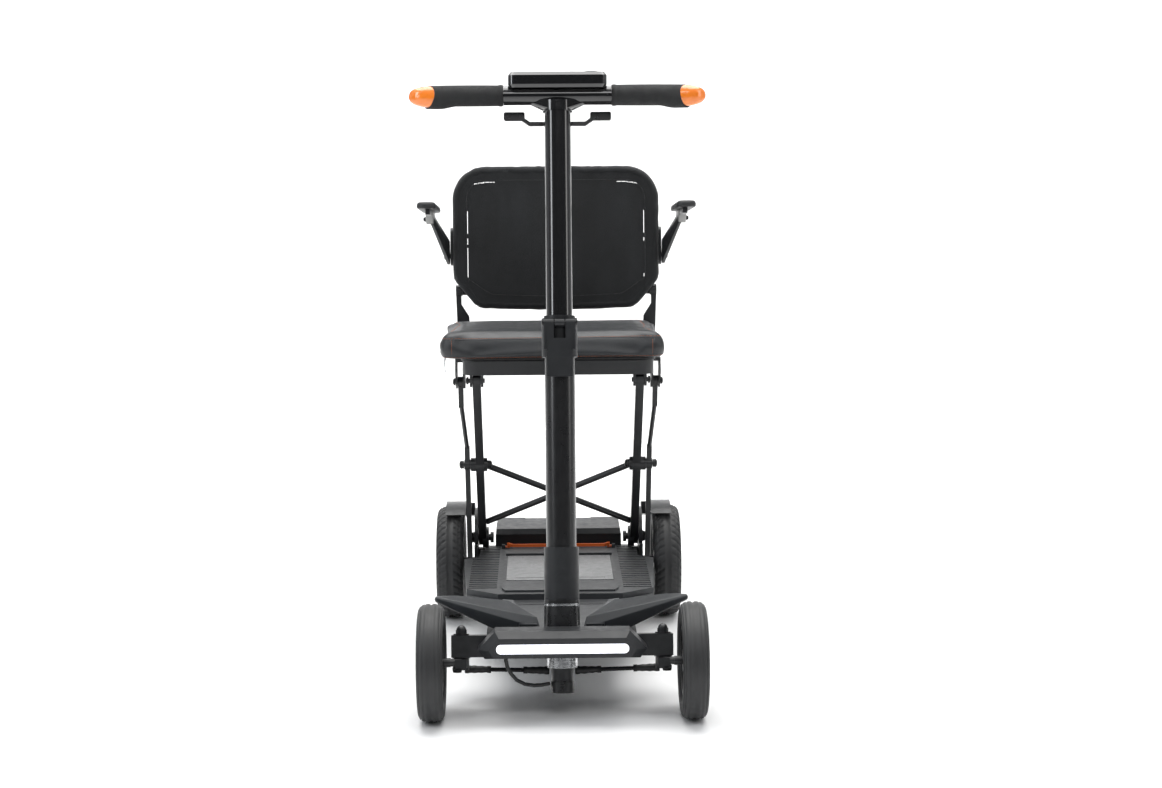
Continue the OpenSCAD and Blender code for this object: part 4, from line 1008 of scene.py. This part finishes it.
def seat_seams():
    tree = surface_tree(cushion)
    for tag, zoff in (("upper", C_H * 0.27), ("lower", -C_H * 0.33)):
        pts = outline(C_W, C_L, CORNER, 300)
        surf, nrms = [], []
        for p in pts:
            outward = Vector((p.x, p.y, 0))
            start = C_MID + Vector((p.x, p.y, zoff)) + outward.normalized() * 0.05
            start.z = C_MID.z + zoff + 0.0012 * math.sin(p.x * 9)
            hit, nrm, _, _ = tree.ray_cast(start, -outward.normalized())
            if hit is None:
                hit, nrm = C_MID + Vector((p.x, p.y, zoff)), outward.normalized()
            surf.append(hit)
            nrms.append(nrm)
        surf.append(surf[0])
        nrms.append(nrms[0])
        # welt cord laid in the seam, and the line of thread above it
        cord_pts = [p - n * 0.0007 for p, n in zip(surf[:-1], nrms[:-1])]
        verts, faces = sweep(cord_pts, 0.0012, 8, closed=True)
        welt = make(f"seat_welt_{tag}", verts, faces, "seat_leather")
        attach(welt, "seat")
        off = Vector((0, 0, 0.0028 if tag == "upper" else -0.0026))
        line = [tree.find_nearest(p + off)[0] for p in surf]
        stitches(f"seat_stitch_{tag}", line, nrms, *THREAD, "seat")
    for s in (-1, 1):
        line, nrms = [], []
        for i in range(8):
            z = C_MID.z + C_H * (-0.33 + 0.60 * i / 7)
            start = Vector((C_MID.x + s * (C_W / 2 - 0.026), c_lo[1] - 0.05, z))
            hit, nrm, _, _ = tree.ray_cast(start, Vector((0, 1, 0)))
            if hit:
                line.append(hit)
                nrms.append(nrm)
        if len(line) > 4:
            verts, faces = sweep([p - n * 0.0006 for p, n in zip(line, nrms)], 0.001, 8)
            tag = "right" if s > 0 else "left"
            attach(make(f"seat_corner_welt_{tag}", verts, faces, "seat_leather"), "seat")
            moved = [p + Vector((-s * 0.0024, 0, 0)) for p in line]
            stitches(f"seat_corner_stitch_{tag}", moved, nrms, *THREAD, "seat")


seat_seams()


def zip_pull():
    x, y, z = -0.193, c_lo[1] + 0.04, c_lo[2] + 0.001
    parts = [sweep([(x, y, z + 0.004), (x, y, z - 0.004)], 0.0022, 10),
             sweep([(x, y, z - 0.003), (x - 0.0006, y, z - 0.012), (x, y, z - 0.026)], 0.0010, 8)]
    verts, faces = join(parts)
    obj = make("seat_zip_pull", verts, faces, "steel")
    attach(obj, "seat")


zip_pull()


# ------------------------------------------------------------------ backrest cover
W2 = 189.0  # half the backrest's width
POCKET_R = 9.2  # the sewn pocket's radius round the tube
GRID = 1.25  # spacing of the mesh panel's points
TOP = (820.0 - HINGE[1]) / math.cos(BACK_LEAN)


def back_path(inset=0.0, count=200):
    """centre line of the tube, in the backrest's own X and Z, in millimetres"""
    xi, top, r = W2 - 8 - inset, TOP - 8 - inset, 52.0 - inset
    low, tz, tx = -24 + inset, 24.0, 42.0
    pts = []
    for i in range(26):
        a = math.radians(90 * i / 25)
        pts.append(Vector((xi - r + r * math.cos(a), 0, top - r + r * math.sin(a))))
    for i in range(26):
        a = math.radians(90 + 90 * i / 25)
        pts.append(Vector((-xi + r + r * math.cos(a), 0, top - r + r * math.sin(a))))
    bend = [(xi, tz + 6), (xi - 2, tz - 2), (xi - tx + 6, low + 5), (xi - tx - 4, low)]
    pts += [Vector((-x, 0, z)) for x, z in bend]
    sag = 10.0
    for i in range(1, 16):
        t = i / 16
        x = (-xi + tx + 4) * (1 - t) + (xi - tx - 4) * t
        pts.append(Vector((x, 0, low - sag * math.sin(math.pi * t) * 0.35)))
    pts += [Vector((x, 0, z)) for x, z in reversed(bend)]
    pts.append(pts[0].copy())
    return spread(pts, count)


def back_cover():
    # front panel: a fine grid cut to the outline, slit where the sewn pocket begins
    xi, top, r = W2 - 7, TOP - 7, 52.0
    low, tz, tx = -27.0, 24.0, 42.0

    def inside(x, z):
        ax = abs(x)
        if ax > xi or z > top or z < low - 4 * (1 - (ax / 150) ** 2):
            return False
        if ax > xi - r and z > top - r:
            return math.hypot(ax - (xi - r), z - (top - r)) <= r
        if z < tz:
            return ax < xi - tx * (tz - z) / (tz - low)
        return True

    def slit(x, z):
        ax = abs(x)
        if 162.0 < ax < 163.3 and (14 < z < 78 or 84 < z < 96 or 104 < z < 146):
            return x < 0 or z > 90 or z < 30
        arc = top - 21 - 6 * ((ax - 120) / 40) ** 2 if 112 < ax < 150 else None
        return arc is not None and abs(z - arc) < 0.65 and abs(math.sin(ax * 0.7)) > 0.25

    verts, faces, index = [], [], {}
    nx, nz = int(2 * xi / GRID), int((top - low + 8) / GRID)
    for j in range(nz + 1):
        z = low - 6 + j * GRID
        for i in range(nx + 1):
            x = -xi + i * GRID
            if not inside(x, z):
                continue
            u, v = x / xi, (z - low) / (top - low)
            belly = -5.0 * max(0.0, 1 - u * u) * max(0.0, math.sin(math.pi * min(1, max(0, v))))
            wr = 0.0
            if v > 0.8:
                k = smooth_step(0.8, 1.0, v)
                wr = k * 1.5 * noise.noise(Vector((x * 0.045, z * 0.01, 3.0)))
            wr += 0.5 * noise.noise(Vector((x * 0.02, z * 0.02, 7.0)))
            index[(i, j)] = len(verts)
            verts.append(on_back(x, -21.5 + belly * 0.35 + wr, z))
    for j in range(nz):
        z = low - 6 + (j + 0.5) * GRID
        for i in range(nx):
            x = -xi + (i + 0.5) * GRID
            keys = ((i, j), (i + 1, j), (i + 1, j + 1), (i, j + 1))
            if all(k in index for k in keys) and not slit(x, z):
                faces.append(tuple(index[k] for k in keys))
    used = sorted({i for f in faces for i in f})
    remap = {old: new for new, old in enumerate(used)}
    verts = [verts[i] for i in used]
    faces = [tuple(remap[i] for i in f) for f in faces]
    panel = make("back_mesh_panel", verts, faces, "mesh_fabric")
    solid = panel.modifiers.new("cloth_thickness", "SOLIDIFY")
    solid.thickness = 0.0012
    solid.offset = 0.0
    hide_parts("back_mesh")
    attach(panel, "back")
    # sewn pocket round the tube
    path = back_path(0.0, 260)
    sides = 22
    rings = []
    for i, p in enumerate(path):
        a, b = path[i - 1], path[(i + 1) % len(path)]
        d = (b - a).normalized()
        out = Vector((-d.z, 0, d.x))
        if out.dot(Vector((p.x, 0, p.z - 90))) < 0:
            out = -out
        ring = []
        for k in range(sides):
            t = 2 * math.pi * k / sides
            v = noise.noise(Vector((p.x * 0.05 + 4, t * 0.6, p.z * 0.05))) * 0.9
            if p.z > TOP - 16:
                pucker = smooth_step(0, 1, abs(math.sin(p.x * 0.03)))
                v += noise.noise(Vector((p.x * 0.14, t, 2.0))) * pucker
            inward = -math.cos(t)
            # the pocket narrows to a flat hem on the inner side
            rr_out = POCKET_R + v
            hem = max(0.0, inward) ** 3 * 5.0
            q = out * ((rr_out + hem) * math.cos(t))
            flat = (1 - 0.62 * max(0.0, inward) ** 1.5)
            y = -14 - rr_out * math.sin(t) * flat * 0.98 - 2.0 * max(0.0, inward)
            pt = p + q
            ring.append(on_back(pt.x, y, pt.z))
        rings.append(ring)
    verts, faces = loft(rings, caps=False, closed=True)
    pocket = make("back_mesh_pocket", verts, faces, "mesh_fabric")
    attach(pocket, "back")
    # a row of thread along the pocket's hem
    inner = back_path(16.5, 260)
    line = [on_back(p.x, -24.3, p.z) for p in inner]
    line.append(line[0])
    n = on_back(0, -1, 0) - on_back(0, 0, 0)
    normals = [n.normalized()] * len(line)
    stitches("back_hem_thread", line, normals, 0.0026, 0.0016, 0.00035, "back", "mesh_fabric")


back_cover()


# ------------------------------------------------------------------ screws and small fittings
def leg_point(r):
    """Y and Z of the point r millimetres up the seat leg"""
    a = math.radians(180 - 51.2)
    return WHEELBASE + r * math.cos(a), LEG_PIVOT_Z + r * math.sin(a)


PIN_Y, PIN_Z = leg_point(201)
TOP_Y, TOP_Z = leg_point(415)
STRUT_RISE = math.radians(111.4)
STRUT_TOP = (PIN_Y + 167.5 * math.cos(STRUT_RISE), PIN_Z + 167.5 * math.sin(STRUT_RISE))

for s in (-1, 1):
    tag = "right" if s > 0 else "left"
    screw(f"link_bolt_{tag}", world(s * 171, PIN_Y, PIN_Z), (s, 0, 0), 7.4 * MM, 4.5 * MM, "legs")
    nut_at = world(s * 122, PIN_Y, PIN_Z)
    screw(f"link_nut_{tag}", nut_at, (-s, 0, 0), 7.4 * MM, 4.5 * MM, "legs", hexed=False)
    screw(f"strut_bolt_{tag}", world(s * 178, *STRUT_TOP), (s, 0, 0), 6.5 * MM, 4.5 * MM, "struts")
    screw(f"leg_top_bolt_{tag}", world(s * 153, TOP_Y, TOP_Z), (s, 0, 0), 6.5 * MM, 4.5 * MM, "seat")
    screw(f"foot_bolt_{tag}", world(s * 156, WHEELBASE, LEG_PIVOT_Z), (s, 0, 0), 9.6 * MM, 5.0 * MM, "root")
    screw(f"clamp_screw_{tag}", column(s * 24.5, -33.55, 607), (s, 0, 0), 5.0 * MM, 3.0 * MM, "tiller")


# hub caps
def hub(tag, x, y, z, s, body, r):
    prof = [(-0.002, r), (0.001, r), (0.0035, r * 0.93), (0.005, r * 0.8), (0.0052, r * 0.3)]
    verts, faces = lathe(prof, world(x, y, z), (s, 0, 0), 40)
    cap = make(f"hub_cap_{tag}", verts, faces, "satin_trim")
    smooth(cap, 45)
    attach(cap, body)


for s in (-1, 1):
    tag = "right" if s > 0 else "left"
    hub(f"front_{tag}", s * 216.5, 0, FRONT_HUB_Z, s, f"front_wheel_{tag}", 0.0165)
    hub(f"rear_{tag}", s * 217.6, WHEELBASE, REAR_HUB_Z, s, f"rear_wheel_{tag}", 0.0165)
